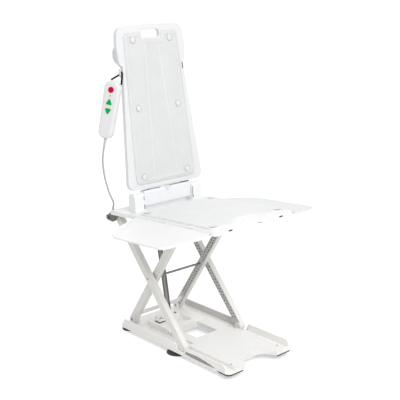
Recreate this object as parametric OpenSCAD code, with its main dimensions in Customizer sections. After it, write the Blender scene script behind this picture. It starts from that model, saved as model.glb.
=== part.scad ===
// Bath lift: a scissor frame carries a seat with a reclining backrest and two folding side flaps.
// Y grows towards the rear and Z upwards, and the sitter faces the front, -Y. Millimetres.

/* [Base] */
// Width of the base over its side rails
base_w = 308; // [302:1:316]
// Length of the base
base_len = 576; // [570:1:600]
// Height of the suction cups, which is the gap under the base
cup_h = 15; // [13:0.5:17]
// Radius of a suction cup
cup_r = 28; // [26:1:30]
// Thickness of the base tray's floor
tray_t = 10; // [7:0.5:10]
// Height of the foot platform's top above the floor
platform_z = 38; // [34:0.5:39]
// Height of the side rails' top above the floor
rail_z = 50; // [46:1:54]
// Thickness of a side rail
rail_t = 4.5; // [3.5:0.25:5]
// Width of the window in the base
window_w = 100; // [70:1:120]
// Depth of the knee cut in the base's front edge
knee_depth = 54; // [40:1:60]
// Height of the rear housing's top above the floor
housing_z = 44; // [40:0.5:45]

/* [Scissor frame] */
// Height of the base pivots and lower roller axes above the floor
pin_z = 40; // [39.5:0.25:42]
// Distance of the rear pivots from the base's rear edge
rear_pin_inset = 28.8; // [26:0.2:32]
// Angle of the rear arms at rest
rear_angle = 57; // [56:0.25:58]
// Rear arm from its pivot to the centre axle
rear_lower = 240.9; // [236:0.1:244]
// Rear arm from the centre axle to its upper roller
rear_upper = 271; // [266:0.5:273]
// Angle of the front arms at rest
front_angle = 48.45; // [48:0.05:49]
// Depth of an arm's section
arm_d = 26; // [22:0.5:26]
// Width of an arm's section
arm_w = 21; // [18:0.5:21]
// Wall of the hollow arms
arm_wall = 2.5; // [1.5:0.25:3.5]
// Distance of the rear arms' inner face from the base's side
arm_inset = 54; // [54:0.5:57]
// Gap between the arms that pass each other
arm_gap = 6.5; // [6:0.25:6.5]
// Diameter of the centre axle
axle_d = 8; // [6:0.5:10]
// Diameter of the pivot pins
pin_d = 10; // [8:0.5:11]
// Diameter of the drain holes in the arms
drain_d = 5.5; // [4:0.25:6]
// Radial clearance of a pin in its running bore
pin_clearance = 0.05; // [0.03:0.01:0.1]
// Clearance between parts that slide past each other
gap = 0.3; // [0.2:0.05:0.5]

/* [Seat] */
// Half the width of the seat shell
seat_hw = 184; // [180:1:188]
// Height of the seat cover's top above the line of the roller tracks
seat_rise = 27; // [26:0.5:30]
// Thickness of the seat cover
seat_cover_t = 8; // [6:0.5:9]
// Thickness of the seat shell's wall
seat_wall = 4; // [3:0.25:4]
// Depth of the seat shell's skirt
skirt_d = 14; // [10:0.5:16]
// Reach of the seat shell in front of the top pivots
seat_front = 564; // [562:1:572]
// Reach of the rear deck, measured the same way
seat_rear = 14; // [13:0.5:24]
// Depth of the seat's front cut
seat_cut = 42; // [30:1:48]
// Width of the seat's front cut
seat_cut_w = 140; // [120:1:150]
// Radius of the upper rollers
roller_r = 10; // [8:0.25:10]
// Width of a hinge cheek
cheek_w = 46; // [40:1:50]
// Radius of the hinge cheeks' round top
cheek_r = 17.5; // [15:0.5:19]

/* [Flaps] */
// Reach of a flap from the middle plane
flap_reach = 355; // [330:1:370]
// Angle by which the flaps droop
flap_droop = 6; // [3:0.2:10]
// Thickness of a flap
flap_t = 7; // [5:0.5:7]

/* [Backrest] */
// Lean of the backrest at rest
back_lean = 9.1; // [6:0.1:12]
// Height of the backrest panel's top edge above the hinge, along the panel
back_top = 598; // [570:1:620]
// Gap from the hinge to the panel's lower edge
back_bottom = 28; // [26:0.5:34]
// Half-width of the panel at its lower edge
back_hw = 172; // [160:1:176]
// Half-width of the panel at its waist
waist_hw = 135; // [128:1:140]
// Half-width of the panel's head
head_hw = 152; // [146:1:158]
// Depth of the panel's rim
back_d = 14; // [13:0.5:18]
// Thickness of the panel's wall
back_wall = 4; // [3:0.25:5]
// Thickness of the back cover
back_cover_t = 7; // [5:0.5:9]
// Diameter of the cover buttons
button_d = 24; // [18:0.5:28]

/* [Handset] */
// Length of the handset
handset_l = 200; // [196:1:206]
// Width of the handset
handset_w = 60; // [56:1:64]
// Thickness of the handset
handset_t = 28; // [26:0.5:30]
// Wall of the handset's shells
handset_wall = 2; // [1.5:0.1:2.5]
// Diameter of the stop button
stop_d = 20; // [14:0.5:22]
// Height that the buttons stand out
key_h = 2.2; // [1.6:0.1:2.6]
// Diameter of the handset's cord
cord_d = 6.5; // [5:0.25:7]

/* [Hidden] */
$fn = 48;

white = "#f2f3f4";
pale = "#e4e6e8";
shade = "#d9d8d4";
cover_grey = "#e2e3e4";
steel = "#6d6c6a";
drive_grey = "#8c8880";
rubber = "#26292d";
cup_blue = "#2f3a44";

eps = 0.01;
arc_steps = 7;

// Places of the scissor frame, as [y, z] from the base's rear edge and the floor
rear_pin = [-rear_pin_inset, pin_z];
function along(p, angle, l) = p + l * [cos(angle), sin(angle)];
centre_pin = along(rear_pin, 180 - rear_angle, rear_lower);
upper_pin = along(centre_pin, 180 - rear_angle, rear_upper);
front_half = (centre_pin[1] - pin_z) / sin(front_angle);
lower_pin = along(centre_pin, 180 + front_angle, front_half);
top_pin = along(centre_pin, front_angle, front_half);
seat_tilt = atan2(upper_pin[1] - top_pin[1], top_pin[0] - upper_pin[0]);
track_reach = norm(upper_pin - top_pin);
lowered_reach = front_half + rear_upper;

// The drive stands furthest to the rear, and the frame's origin is midway between it and the base's front
drive_reach = 39;
rear_most = top_pin[0] + drive_reach;
frame_y = (base_len - rear_most) / 2;

arm_r = arm_d / 2;
rear_arm_x = base_w / 2 - arm_inset;
front_arm_x = rear_arm_x + arm_w + arm_gap;
tray_z = cup_h + tray_t;
lower_roller_r = pin_z - tray_z - gap;
seat_top = seat_rise - seat_cover_t;
seat_under = seat_top - seat_wall;
skirt_low = seat_top - skirt_d;

module in_base() { translate([0, frame_y, 0]) children(); }
module in_seat() { in_base() translate([0, top_pin[0], top_pin[1]]) rotate([-seat_tilt, 0, 0]) children(); }

// The hinge of the backrest, and the foot of its panel's front plane
hinge_y = -87;
hinge_z = 520;
panel_front = 12;
module in_hinge() { in_base() translate([0, hinge_y, hinge_z]) children(); }
module in_back() { in_hinge() translate([0, -panel_front, 0]) rotate([-back_lean, 0, 0]) children(); }

// The handset hangs beside the backrest and is turned towards the side
handset_place = [-198, -31, 832];
handset_turn = [-4.4, 9.2, -65];
module in_handset() { in_base() translate(handset_place) rotate(handset_turn) children(); }

module both_sides() { for (side = [0, 1]) mirror([side, 0, 0]) children(); }

// A rectangle with round corners, about its middle
module round_rect(w, h, r) {
    square([w - 2 * r, h], center = true);
    square([w, h - 2 * r], center = true);
    for (sx = [-1, 1], sy = [-1, 1])
        translate([sx * (w / 2 - r), sy * (h / 2 - r)]) circle(r);
}

// A bar with round ends from the origin along Y
module stadium(l, r) {
    translate([-r, 0]) square([2 * r, l]);
    circle(r);
    translate([0, l]) circle(r);
}

// A cylinder along X from x0 to x1
module rod_x(x0, x1, d) { translate([x0, 0, 0]) rotate([0, 90, 0]) cylinder(h = x1 - x0, d = d); }

// Turns a shape drawn in XY, and raised along Z, so that it stands in YZ and is raised along X
module raise_x(x0, h) { translate([x0, 0, 0]) rotate([90, 0, 90]) linear_extrude(h) children(); }

function unit(v) = v / norm(v);
function mirrored(pts) = [for (i = [len(pts) - 1:-1:0]) [-pts[i][0], pts[i][1], pts[i][2]]];

// The points that round the corner b of an outline a, b, c with radius r
function corner_arc(a, b, c, r) =
    let (u = unit(a - b), v = unit(c - b), half = acos(u * v) / 2,
        centre = b + unit(u + v) * r / sin(half),
        p = b + u * r / tan(half) - centre, q = b + v * r / tan(half) - centre,
        start = atan2(p[1], p[0]), turn = atan2(q[1], q[0]) - start,
        sweep = turn > 180 ? turn - 360 : turn < -180 ? turn + 360 : turn)
    [for (i = [0:arc_steps]) let (t = start + sweep * i / arc_steps) centre + r * [cos(t), sin(t)]];

// A closed outline from corners given as [x, y, radius]
function round_outline(pts) = let (n = len(pts))
    [for (i = [0:n - 1])
        let (b = [pts[i][0], pts[i][1]], r = pts[i][2],
            before = pts[(i + n - 1) % n], after = pts[(i + 1) % n])
        each r > 0 ? corner_arc([before[0], before[1]], b, [after[0], after[1]], r) : [b]];

// A closed tube of n sides along the points of a route, with ref never along the route; wide flattens it
function tube_ring(p, dir, ref, r, n, wide) =
    let (u = unit(cross(dir, ref)), v = wide * cross(dir, u))
    [for (k = [0:n - 1]) p + r * (cos(360 * k / n) * u + sin(360 * k / n) * v)];
module tube(route, ref, r, n, wide = 1) {
    last = len(route) - 1;
    rings = [for (i = [0:last])
        each tube_ring(route[i], unit(route[min(i + 1, last)] - route[max(i - 1, 0)]), ref, r, n, wide)];
    walls = [for (i = [0:last - 1], k = [0:n - 1])
        let (a = i * n + k, b = i * n + (k + 1) % n)
        each [[a, a + n, b], [b, a + n, b + n]]];
    caps = [for (k = [1:n - 2]) each [[0, k, k + 1], [last * n, last * n + k + 1, last * n + k]]];
    polyhedron(points = rings, faces = concat(walls, caps));
}

// A closed pad from two sheets of points, each with rows of w points
module pad(front, back, w) {
    rows = len(front) / w;
    n = len(front);
    cells = [for (j = [0:rows - 2], i = [0:w - 2]) j * w + i];
    faces = concat(
        [for (a = cells) each [[a, a + w, a + 1], [a + 1, a + w, a + w + 1]]],
        [for (a = cells) each [[n + a, n + a + 1, n + a + w], [n + a + 1, n + a + w + 1, n + a + w]]],
        [for (i = [0:w - 2]) each [[i, i + 1, n + i], [i + 1, n + i + 1, n + i]]],
        [for (i = [0:w - 2]) let (a = n - w + i) each [[a, n + a, a + 1], [a + 1, n + a, n + a + 1]]],
        [for (j = [0:rows - 2]) let (a = j * w) each [[a, n + a, a + w], [a + w, n + a, n + a + w]]],
        [for (j = [0:rows - 2]) let (a = j * w + w - 1)
            each [[a, a + w, n + a], [a + w, n + a + w, n + a]]]);
    polyhedron(points = concat(front, back), faces = faces);
}

// Base tray

rail_x = base_w / 2 - rail_t;
window_back = -200;
window_front = -308;
knee_w = 150;
front_corner_r = 16;
knee_r = (pow(knee_w / 2, 2) + pow(knee_depth, 2)) / (2 * knee_depth);
platform_rear = -336;
platform_hw = rear_arm_x + arm_w - 4;
rear_block_hw = rear_arm_x - 9;
lug_t = 8;
lug_x = rear_arm_x - gap - lug_t;
lug_r = 12;

module base_plan(hw) {
    difference() {
        polygon(round_outline([
            [hw, 0, front_corner_r], [hw, -base_len, front_corner_r],
            [-hw, -base_len, front_corner_r], [-hw, 0, front_corner_r]]));
        translate([0, -base_len + knee_depth - knee_r]) circle(knee_r);
        translate([-window_w / 2, window_front]) square([window_w, window_back - window_front]);
    }
}

// The tray's front is a thin lip, cut away from below
lip_l = 56;
lip_z = tray_z - 3;
module base_tray() {
    color(white) in_base() {
        difference() {
            translate([0, 0, cup_h]) linear_extrude(tray_t) base_plan(base_w / 2);
            translate([-base_w, -base_len - 1, cup_h - eps])
                cube([2 * base_w, lip_l + 1, lip_z - cup_h + eps]);
            for (p = cup_places, side = [-1, 1])
                translate([side * p[0], p[1], cup_h - eps]) cylinder(h = tray_t + 2 * eps, d = stud_d);
            for (side = [-1, 1])
                translate([side * screw_x, screw_y, cup_h - eps]) cylinder(h = tray_t + 2 * eps, d = screw_d);
        }
        both_sides() difference() {
            union() {
                translate([0, rear_pin[0], rear_pin[1]]) rod_x(lug_x, lug_x + lug_t, 2 * lug_r);
                translate([lug_x, rear_pin[0] - lug_r, tray_z - eps])
                    cube([lug_t, 2 * lug_r, pin_z - tray_z]);
            }
            translate([0, rear_pin[0], rear_pin[1]]) rod_x(lug_x - eps, lug_x + lug_t + eps, pin_d);
        }
    }
}

// Foot platform: the raised deck at the front, which also frames the window
module foot_platform() {
    frame_front = window_front - 12;
    color(white) in_base() difference() {
        translate([0, 0, tray_z]) linear_extrude(platform_z - tray_z) difference() {
            union() {
                intersection() {
                    base_plan(platform_hw);
                    translate([-platform_hw, -base_len]) square([2 * platform_hw, base_len + platform_rear]);
                }
                difference() {
                    translate([-rear_block_hw, platform_rear - eps])
                        square([2 * rear_block_hw, window_back - platform_rear]);
                    translate([-window_w / 2, window_front]) square([window_w, window_back - window_front]);
                }
            }
        }
        for (side = [-1, 1])
            translate([side * screw_x, screw_y, tray_z - eps])
                cylinder(h = platform_z - tray_z + 2 * eps, d = screw_d);
    }
}

// Rear housing: a raised box behind the window, with a collar for the lead sleeve
housing_rear = -82;
housing_r = 8;
sleeve_d = 20;
sleeve_foot_y = -96;
collar_h = 8;
collar_wall = 3;
// A clamp for the lead stands on the housing
clamp_l = 22;
clamp_w = 20;
clamp_h = 9;
module rear_housing() {
    l = housing_rear - window_back;
    color(white) in_base() {
        translate([0, (housing_rear + window_back) / 2, tray_z])
            linear_extrude(housing_z - tray_z) difference() {
                round_rect(2 * rear_block_hw, l, housing_r);
                translate([0, -6]) round_rect(2 * rear_block_hw - 96, l - 56, housing_r);
            }
        translate([-0.37 * rear_block_hw, housing_rear - clamp_w - 2, housing_z - eps])
            mirror([1, 0, 0]) cube([clamp_l, clamp_w, clamp_h]);
        translate([0, sleeve_foot_y, housing_z - eps]) difference() {
            cylinder(h = collar_h, d = sleeve_d + 2 * collar_wall);
            translate([0, 0, eps]) cylinder(h = collar_h, d = sleeve_d + 2 * gap);
        }
    }
}

// Side rails: upstands along the edges, in two lengths with a gap at the lower roller
rail_gap_half = 17;
rail_rear = -front_corner_r;
module side_rail() {
    rail_front = -base_len + front_corner_r;
    slope = 8;
    color(shade) in_base() raise_x(rail_x, rail_t) {
        polygon(round_outline([
            [rail_rear, tray_z, 0], [rail_rear - slope, rail_z, 10],
            [lower_pin[0] + rail_gap_half + slope, rail_z, 4], [lower_pin[0] + rail_gap_half, tray_z, 0]]));
        polygon(round_outline([
            [lower_pin[0] - rail_gap_half, tray_z, 0], [lower_pin[0] - rail_gap_half - slope, rail_z, 4],
            [rail_front, rail_z, 14], [rail_front, tray_z, 0]]));
    }
}
module side_rail_left() { side_rail(); }
module side_rail_right() { mirror([1, 0, 0]) side_rail(); }

module base_pivot_pins() {
    color(steel) in_base() both_sides() translate([0, rear_pin[0], rear_pin[1]])
        rod_x(lug_x, rear_arm_x + arm_w, pin_d);
}

// Suction cups under the base, each on a stud
cup_places = [
    [base_w / 2 - cup_r - 7, -cup_r / 2], [base_w / 2 - cup_r, -0.504 * base_len],
    [platform_hw - cup_r - 4, -base_len + lip_l + cup_r + 22]];
stud_d = 12;
module suction_cups() {
    lip = 3;
    color(cup_blue) in_base() for (p = cup_places, side = [-1, 1]) translate([side * p[0], p[1], 0])
        rotate_extrude() polygon([
            [0, cup_h], [0, cup_h - 5], [cup_r - 10, 5], [cup_r - 4, 0], [cup_r, 0], [cup_r, lip],
            [cup_r - 8, cup_h - 3], [cup_r - 12, cup_h]]);
}
module cup_studs() {
    color(pale) in_base() for (p = cup_places, side = [-1, 1])
        translate([side * p[0], p[1], cup_h]) cylinder(h = tray_t, d = stud_d);
}

// Rubber pads under the lip's corners
pad_l = 66;
pad_d = 48;
pad_h = 4;
pad_r = 6;
pad_x = base_w / 2 - 6 - pad_l / 2;
pad_y = -base_len + 1.5 + pad_d / 2;
module front_pads() {
    color(rubber) in_base() for (side = [-1, 1]) translate([side * pad_x, pad_y, lip_z - pad_h])
        linear_extrude(pad_h) round_rect(pad_l, pad_d, pad_r);
}

screw_x = base_w / 2 - 43;
screw_y = -base_len + 33;
screw_d = 7;
module base_screws() {
    color(steel) in_base() for (side = [-1, 1]) translate([side * screw_x, screw_y, lip_z])
        cylinder(h = platform_z - lip_z, d = screw_d);
}

// Arms: hollow beams with a perforated inner face and bosses round their three pivots

// An arm along Z from its lower pivot; mid and l place the other two pivots
module arm(x0, mid, l, low_d, mid_d, top_d, drain_from, drain_to) {
    boss_r = arm_r - 1;
    pitch = 13;
    row = 5.4;
    difference() {
        raise_x(x0, arm_w) stadium(l, arm_r);
        difference() {
            raise_x(x0 + arm_wall, arm_w - 2 * arm_wall) stadium(l, arm_r - arm_wall);
            for (h = [0, mid, l]) translate([0, 0, h]) rod_x(x0, x0 + arm_w, 2 * boss_r);
        }
        rod_x(x0 - eps, x0 + arm_w + eps, low_d);
        translate([0, 0, mid]) rod_x(x0 - eps, x0 + arm_w + eps, mid_d);
        translate([0, 0, l]) rod_x(x0 - eps, x0 + arm_w + eps, top_d);
        raise_x(x0 - eps, arm_wall + 2 * eps)
            for (h = [drain_from:pitch:drain_to], side = [-1, 1])
                if (abs(h - mid) > arm_r + drain_d) translate([side * row, h + (side + 1) * pitch / 4])
                    circle(d = drain_d);
    }
}

rear_l = rear_lower + rear_upper;
bar_d = 14;
bar_up = 30;
bar_web = 14;
module in_rear_arm() {
    in_base() translate([0, rear_pin[0], rear_pin[1]]) rotate([90 - rear_angle, 0, 0]) children();
}
module rear_arm() {
    color(shade) in_rear_arm() difference() {
        arm(rear_arm_x, rear_lower, rear_l, pin_d + 2 * pin_clearance, axle_d, pin_d,
            bar_up + 40, rear_l - 30);
        translate([0, 0, bar_up]) rod_x(rear_arm_x - eps, rear_arm_x + arm_wall, bar_d);
    }
}
module rear_arm_left() { rear_arm(); }
module rear_arm_right() { mirror([1, 0, 0]) rear_arm(); }

module rear_arm_crossbar() {
    reach = rear_arm_x + arm_wall;
    color(shade) in_rear_arm() {
        translate([0, 0, bar_up]) rod_x(-reach, reach, bar_d);
        // A web with a hollow edge joins the bar to each arm
        both_sides() translate([rear_arm_x - bar_web, bar_d / 2 - 1, bar_up]) rotate([90, 0, 0])
            linear_extrude(bar_d - 2) difference() {
                square([bar_web, bar_d / 2 + bar_web]);
                translate([0, bar_d / 2 + bar_web]) circle(bar_web);
            }
    }
}

module centre_axle() {
    reach = front_arm_x + arm_w;
    color(steel) in_base() translate([0, centre_pin[0], centre_pin[1]]) rod_x(-reach, reach, axle_d);
}

roller_w = 11;
roller_x = rear_arm_x - 1 - roller_w;
nut_lug_w = 11;
roller_pin_in = roller_x - 2 - nut_lug_w;
module upper_rollers() {
    color(pale) in_seat() both_sides() translate([0, -track_reach, 0]) difference() {
        rod_x(roller_x, roller_x + roller_w, 2 * roller_r);
        rod_x(roller_x - eps, roller_x + roller_w + eps, pin_d);
    }
}
module upper_roller_pins() {
    color(steel) in_seat() both_sides() translate([0, -track_reach, 0])
        rod_x(roller_pin_in, rear_arm_x + arm_w, pin_d);
}

module in_front_arm() {
    in_base() translate([0, lower_pin[0], lower_pin[1]]) rotate([front_angle - 90, 0, 0]) children();
}
module front_arm() {
    color(pale) in_front_arm()
        arm(front_arm_x, front_half, 2 * front_half, pin_d, axle_d + 2 * pin_clearance, pin_d,
            36, 2 * front_half - 36);
}
module front_arm_left() { front_arm(); }
module front_arm_right() { mirror([1, 0, 0]) front_arm(); }

// Lower rollers stand on the tray's floor, between the arms
module lower_rollers() {
    color(white) in_base() both_sides() translate([0, lower_pin[0], lower_pin[1]]) {
        rod_x(front_arm_x, front_arm_x + arm_w, pin_d);
        rod_x(rear_arm_x + arm_w + gap, front_arm_x, 2 * lower_roller_r);
    }
}

bracket_gap = 2;
bracket_t = 11;
bracket_x = front_arm_x + arm_w + bracket_gap;
module top_pivot_pins() {
    color(steel) in_base() both_sides() translate([0, top_pin[0], top_pin[1]])
        rod_x(front_arm_x, bracket_x + bracket_t, pin_d);
}

// Drive nut: a carriage on the right upper roller's pin, which the lead screw pulls
lead_d = 12;
lead_x = 33 - roller_x;
nut_r = 11;
nut_back = 75;
nut_front = 45;
module drive_nut() {
    nut_hw = nut_r + 1;
    color(drive_grey) in_seat() translate([0, -track_reach, 0]) difference() {
        union() {
            raise_x(-roller_x + 2, nut_lug_w) {
                circle(nut_r);
                translate([0, -nut_r]) square([nut_back, 2 * nut_r]);
            }
            translate([-roller_x + 2, nut_front, -nut_r])
                cube([lead_x + nut_hw + roller_x - 2, nut_back - nut_front, 2 * nut_r]);
        }
        translate([-roller_x + 1, 0, 0]) rod_x(0, nut_lug_w + 2, pin_d + 2 * pin_clearance);
        translate([lead_x, -eps, 0]) rotate([-90, 0, 0]) cylinder(h = nut_back + 1, d = lead_d + 2 * gap);
    }
}

// Seat shell: a tray with a skirt, cut in at the middle of its front edge
seat_corner_r = 8;
front_r = 22;
cut_r = (pow(seat_cut_w / 2, 2) + pow(seat_cut, 2)) / (2 * seat_cut);
module seat_plan(inset) {
    hw = seat_hw - inset;
    difference() {
        polygon(round_outline([
            [hw, -seat_rear - inset, seat_corner_r - inset], [hw, -seat_front + inset, front_r - inset],
            [-hw, -seat_front + inset, front_r - inset], [-hw, -seat_rear - inset, seat_corner_r - inset]]));
        translate([0, -seat_front + seat_cut - cut_r]) circle(cut_r + inset);
    }
}

vent_x = 117;
vent_w = 17;
vent_h = 5;
knuckle_d = 10;
// The seat's knuckles, as [start, length], fill the hinge line between those of the flap
knuckle_gap = 1;
knuckle_rear = 168;
knuckle_front = seat_front - 18;
flap_knuckle_l = 60;
flap_knuckle_starts = [-320, -460];
seat_knuckles = [
    [flap_knuckle_starts[0] + flap_knuckle_l + knuckle_gap,
        -knuckle_rear - flap_knuckle_starts[0] - flap_knuckle_l - knuckle_gap],
    [flap_knuckle_starts[1] + flap_knuckle_l + knuckle_gap,
        flap_knuckle_starts[0] - flap_knuckle_starts[1] - flap_knuckle_l - 2 * knuckle_gap],
    [-knuckle_front, flap_knuckle_starts[1] - knuckle_gap + knuckle_front]];
flap_axis_x = seat_hw + knuckle_d / 2 + gap;
flap_axis_w = seat_top - 7;
flap_pin_d = 5;
module knuckle(start, l, d) {
    translate([flap_axis_x, start, flap_axis_w]) rotate([-90, 0, 0]) cylinder(h = l, d = d);
}
module seat_shell() {
    // The rear skirt is open between the pivot brackets
    rear_open = bracket_x + bracket_t + 1;
    color(white) in_seat() {
        difference() {
            translate([0, 0, skirt_low]) linear_extrude(skirt_d) seat_plan(0);
            translate([0, 0, skirt_low - eps]) linear_extrude(skirt_d - seat_wall + eps) seat_plan(seat_wall);
            for (side = [-1, 1])
                translate([side * vent_x - vent_w / 2, -seat_front - 1, skirt_low + 6])
                    cube([vent_w, seat_wall + 2, vent_h]);
            translate([-rear_open, -seat_rear - seat_wall - 1, skirt_low - eps])
                cube([2 * rear_open, seat_wall + 2, skirt_d - seat_wall + eps]);
        }
        both_sides() difference() {
            for (k = seat_knuckles) {
                knuckle(k[0], k[1], knuckle_d);
                translate([seat_hw - eps, k[0], flap_axis_w - knuckle_d / 2])
                    cube([flap_axis_x - seat_hw, k[1], knuckle_d]);
            }
            knuckle(-seat_front, seat_front, flap_pin_d);
        }
    }
}

// Seat cover: a thin pad with a rolled edge, whose front follows the shell's cut
cover_margin = 26;
cover_hw = seat_hw - 14;
cover_rear = -166;
cover_corner_r = 18;
cover_edge = 2.5;
roll = 9;
// How far the middle of a side pulls in
draw_in = 3;
function mirror_steps(half) = concat([for (i = [len(half) - 1:-1:1]) -half[i]], half);
function edge_rise(d) = sqrt(1 - pow(1 - min(d / roll, 1), 2));
function corner_inset(d, r) = d < r ? r - sqrt(r * r - pow(r - d, 2)) : 0;
cut_centre = -seat_front + seat_cut - cut_r;
function cover_front(x) = let (r = cut_r + cover_margin, flat = -seat_front + cover_margin)
    abs(x) < r ? max(flat, cut_centre + sqrt(r * r - x * x)) : flat;
seat_cols = mirror_steps([0, 0.12, 0.24, 0.34, 0.44, 0.52, 0.6, 0.75, 0.9, 0.95, 0.98, 1]);
seat_rows = [0, 0.008, 0.025, 0.05, 0.2, 0.35, 0.5, 0.65, 0.8, 0.95, 0.975, 0.992, 1];
function seat_pad_point(u, r, lift) =
    let (l = cover_rear - cover_front(u * cover_hw), d = min(r, 1 - r) * l,
        hw = cover_hw - corner_inset(d, cover_corner_r) - draw_in * sin(180 * r) + draw_in,
        x = u * (hw - draw_in), v = cover_rear - r * l,
        rise = min(edge_rise(d), edge_rise((1 - abs(u)) * hw)))
    [x, v, seat_top + lift * (cover_edge + (seat_cover_t - cover_edge) * rise)];
module seat_cover() {
    color(cover_grey) in_seat() pad(
        [for (r = seat_rows, u = seat_cols) seat_pad_point(u, r, 1)],
        [for (r = seat_rows, u = seat_cols) seat_pad_point(u, r, 0)], len(seat_cols));
}

// A cover button is a low dome, drawn at its foot
button_h = 3;
module cover_button() {
    r = button_d / 2;
    dome_r = (r * r + button_h * button_h) / (2 * button_h);
    rotate_extrude() intersection() {
        square([r, button_h]);
        translate([0, button_h - dome_r]) circle(dome_r, $fn = 96);
    }
}
module seat_cover_buttons() {
    inset = 20;
    color(white) in_seat() for (side = [-1, 1], v = [cover_rear - inset, cover_front(cover_hw) + inset])
        translate([side * (cover_hw - inset), v, seat_top + seat_cover_t + gap]) cover_button();
}

// Roller tracks: slotted bars under the seat shell
track_wall = 3.5;
flange_back = 56;
module seat_track() {
    slot = roller_r + gap;
    rear = -track_reach + slot + 1;
    front = -lowered_reach - slot - 1;
    post = 5;
    color(white) in_seat() difference() {
        translate([roller_x, front - post, -slot - track_wall])
            cube([roller_w, rear - front + 2 * post, seat_under + slot + track_wall]);
        translate([roller_x - eps, front, -slot]) cube([roller_w + 2 * eps, rear - front, 2 * slot]);
        // The lower flange ends behind the seat's front, where the load only presses up
        translate([roller_x - eps, front - post - eps, -slot - track_wall - eps])
            cube([roller_w + 2 * eps, post + flange_back + eps, 2 * slot + track_wall + eps]);
    }
}
module seat_track_left() { seat_track(); }
module seat_track_right() { mirror([1, 0, 0]) seat_track(); }

// Hinge cheeks stand on the rear deck and carry the back's hinge pin
cheek_x = seat_hw - 74;
hinge_dy = hinge_y - top_pin[0];
hinge_dz = hinge_z - top_pin[1];
hinge_v = hinge_dy * cos(seat_tilt) - hinge_dz * sin(seat_tilt);
hinge_w = hinge_dy * sin(seat_tilt) + hinge_dz * cos(seat_tilt);
module hinge_cheek() {
    color(white) in_seat() difference() {
        raise_x(cheek_x, cheek_w) {
            translate([hinge_v, hinge_w]) circle(cheek_r);
            translate([hinge_v - cheek_r, seat_top]) square([2 * cheek_r, hinge_w - seat_top]);
        }
        translate([0, hinge_v, hinge_w]) rod_x(cheek_x - eps, cheek_x + cheek_w - cheek_wall, pin_d);
    }
}
cheek_wall = 4;
module hinge_cheek_left() { hinge_cheek(); }
module hinge_cheek_right() { mirror([1, 0, 0]) hinge_cheek(); }
module back_hinge_pin() {
    reach = cheek_x + cheek_w - cheek_wall;
    color(steel) in_hinge() rod_x(-reach, reach, pin_d);
}

// Pivot brackets under the deck hold the top pivots and the drive tube
tube_r = 12;
tube_v = 23;
tube_w = -16;
bracket_front = -52;
bracket_rear = drive_reach + 0.4;
bracket_low = tube_w - tube_r - 2;
module pivot_bracket() {
    color(drive_grey) in_seat() difference() {
        raise_x(bracket_x, bracket_t) polygon(round_outline([
            [bracket_front, seat_under, 0], [-16, seat_under, 4], [-10, gland_foot, 3], [10, gland_foot, 5],
            [24, -4, 8], [bracket_rear, -7, 8], [bracket_rear, bracket_low + 6, 8], [1, bracket_low, 8],
            [-15, -11, 10], [bracket_front, 1, 5]]));
        rod_x(bracket_x - eps, bracket_x + bracket_t + eps, pin_d + 2 * pin_clearance);
        translate([0, tube_v, tube_w]) rod_x(bracket_x - eps, bracket_x + bracket_t + eps, tube_r * 0.8);
    }
}
module pivot_bracket_left() { pivot_bracket(); }
module pivot_bracket_right() { mirror([1, 0, 0]) pivot_bracket(); }

// Drive tube across the rear, with the motor inside
tube_wall = 2;
module drive_tube() {
    color(drive_grey) in_seat() translate([0, tube_v, tube_w]) difference() {
        rod_x(-bracket_x, bracket_x, 2 * tube_r);
        rod_x(-bracket_x - eps, bracket_x + eps, 2 * (tube_r - tube_wall));
    }
}
motor_l = 110;
module drive_motor() {
    shaft_d = 6;
    motor_x = lead_x + 16;
    color(steel) in_seat() translate([0, tube_v, tube_w]) {
        rod_x(motor_x, motor_x + motor_l, 2 * (tube_r - tube_wall));
        rod_x(lead_x - 8, motor_x, shaft_d);
    }
}

// Screw gearbox: a block round the tube that turns the drive into the lead screw
gear_hw = 17;
gear_front = -40;
gear_top = 12;
gear_step = 5;
gear_rear_top = tube_w + tube_r + 1.5;
gear_rear = (drive_reach - gear_rear_top * sin(seat_tilt)) / cos(seat_tilt);
module screw_gearbox() {
    color(drive_grey) in_seat() difference() {
        union() {
            translate([lead_x - gear_hw, gear_front, -lead_d / 2 - 8])
                cube([2 * gear_hw, gear_step - gear_front, gear_top + lead_d / 2 + 8]);
            translate([lead_x - gear_hw, gear_step - eps, bracket_low])
                cube([2 * gear_hw, gear_rear - gear_step, gear_rear_top - bracket_low]);
        }
        translate([0, tube_v, tube_w]) rod_x(lead_x - gear_hw - eps, lead_x + gear_hw + eps, 2 * tube_r);
    }
}

// Lead screw with a shallow thread, and its front bearing
lead_front = -507;
lead_pitch = 6;
bearing_t = 8;
module lead_screw() {
    groove = 0.8;
    l = gear_front - lead_front;
    color(steel) in_seat() translate([lead_x, gear_front, 0]) rotate([90, 0, 0]) difference() {
        cylinder(h = l, d = lead_d);
        for (h = [lead_pitch:lead_pitch:l - bearing_t - lead_pitch]) translate([0, 0, h]) difference() {
            cylinder(h = lead_pitch / 3, d = lead_d + 2);
            translate([0, 0, -eps]) cylinder(h = lead_pitch / 3 + 2 * eps, d = lead_d - 2 * groove);
        }
    }
}
module screw_bearing() {
    hw = lead_d;
    color(pale) in_seat() difference() {
        translate([lead_x - hw, lead_front, -lead_d / 2 - 4])
            cube([2 * hw, bearing_t, seat_under + lead_d / 2 + 4]);
        translate([lead_x, lead_front - eps, 0]) rotate([-90, 0, 0])
            cylinder(h = bearing_t + 2 * eps, d = lead_d);
    }
}

module flap_hinge_pins() {
    color(steel) in_seat() both_sides() knuckle(-knuckle_front, knuckle_front - knuckle_rear, flap_pin_d);
}

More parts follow.
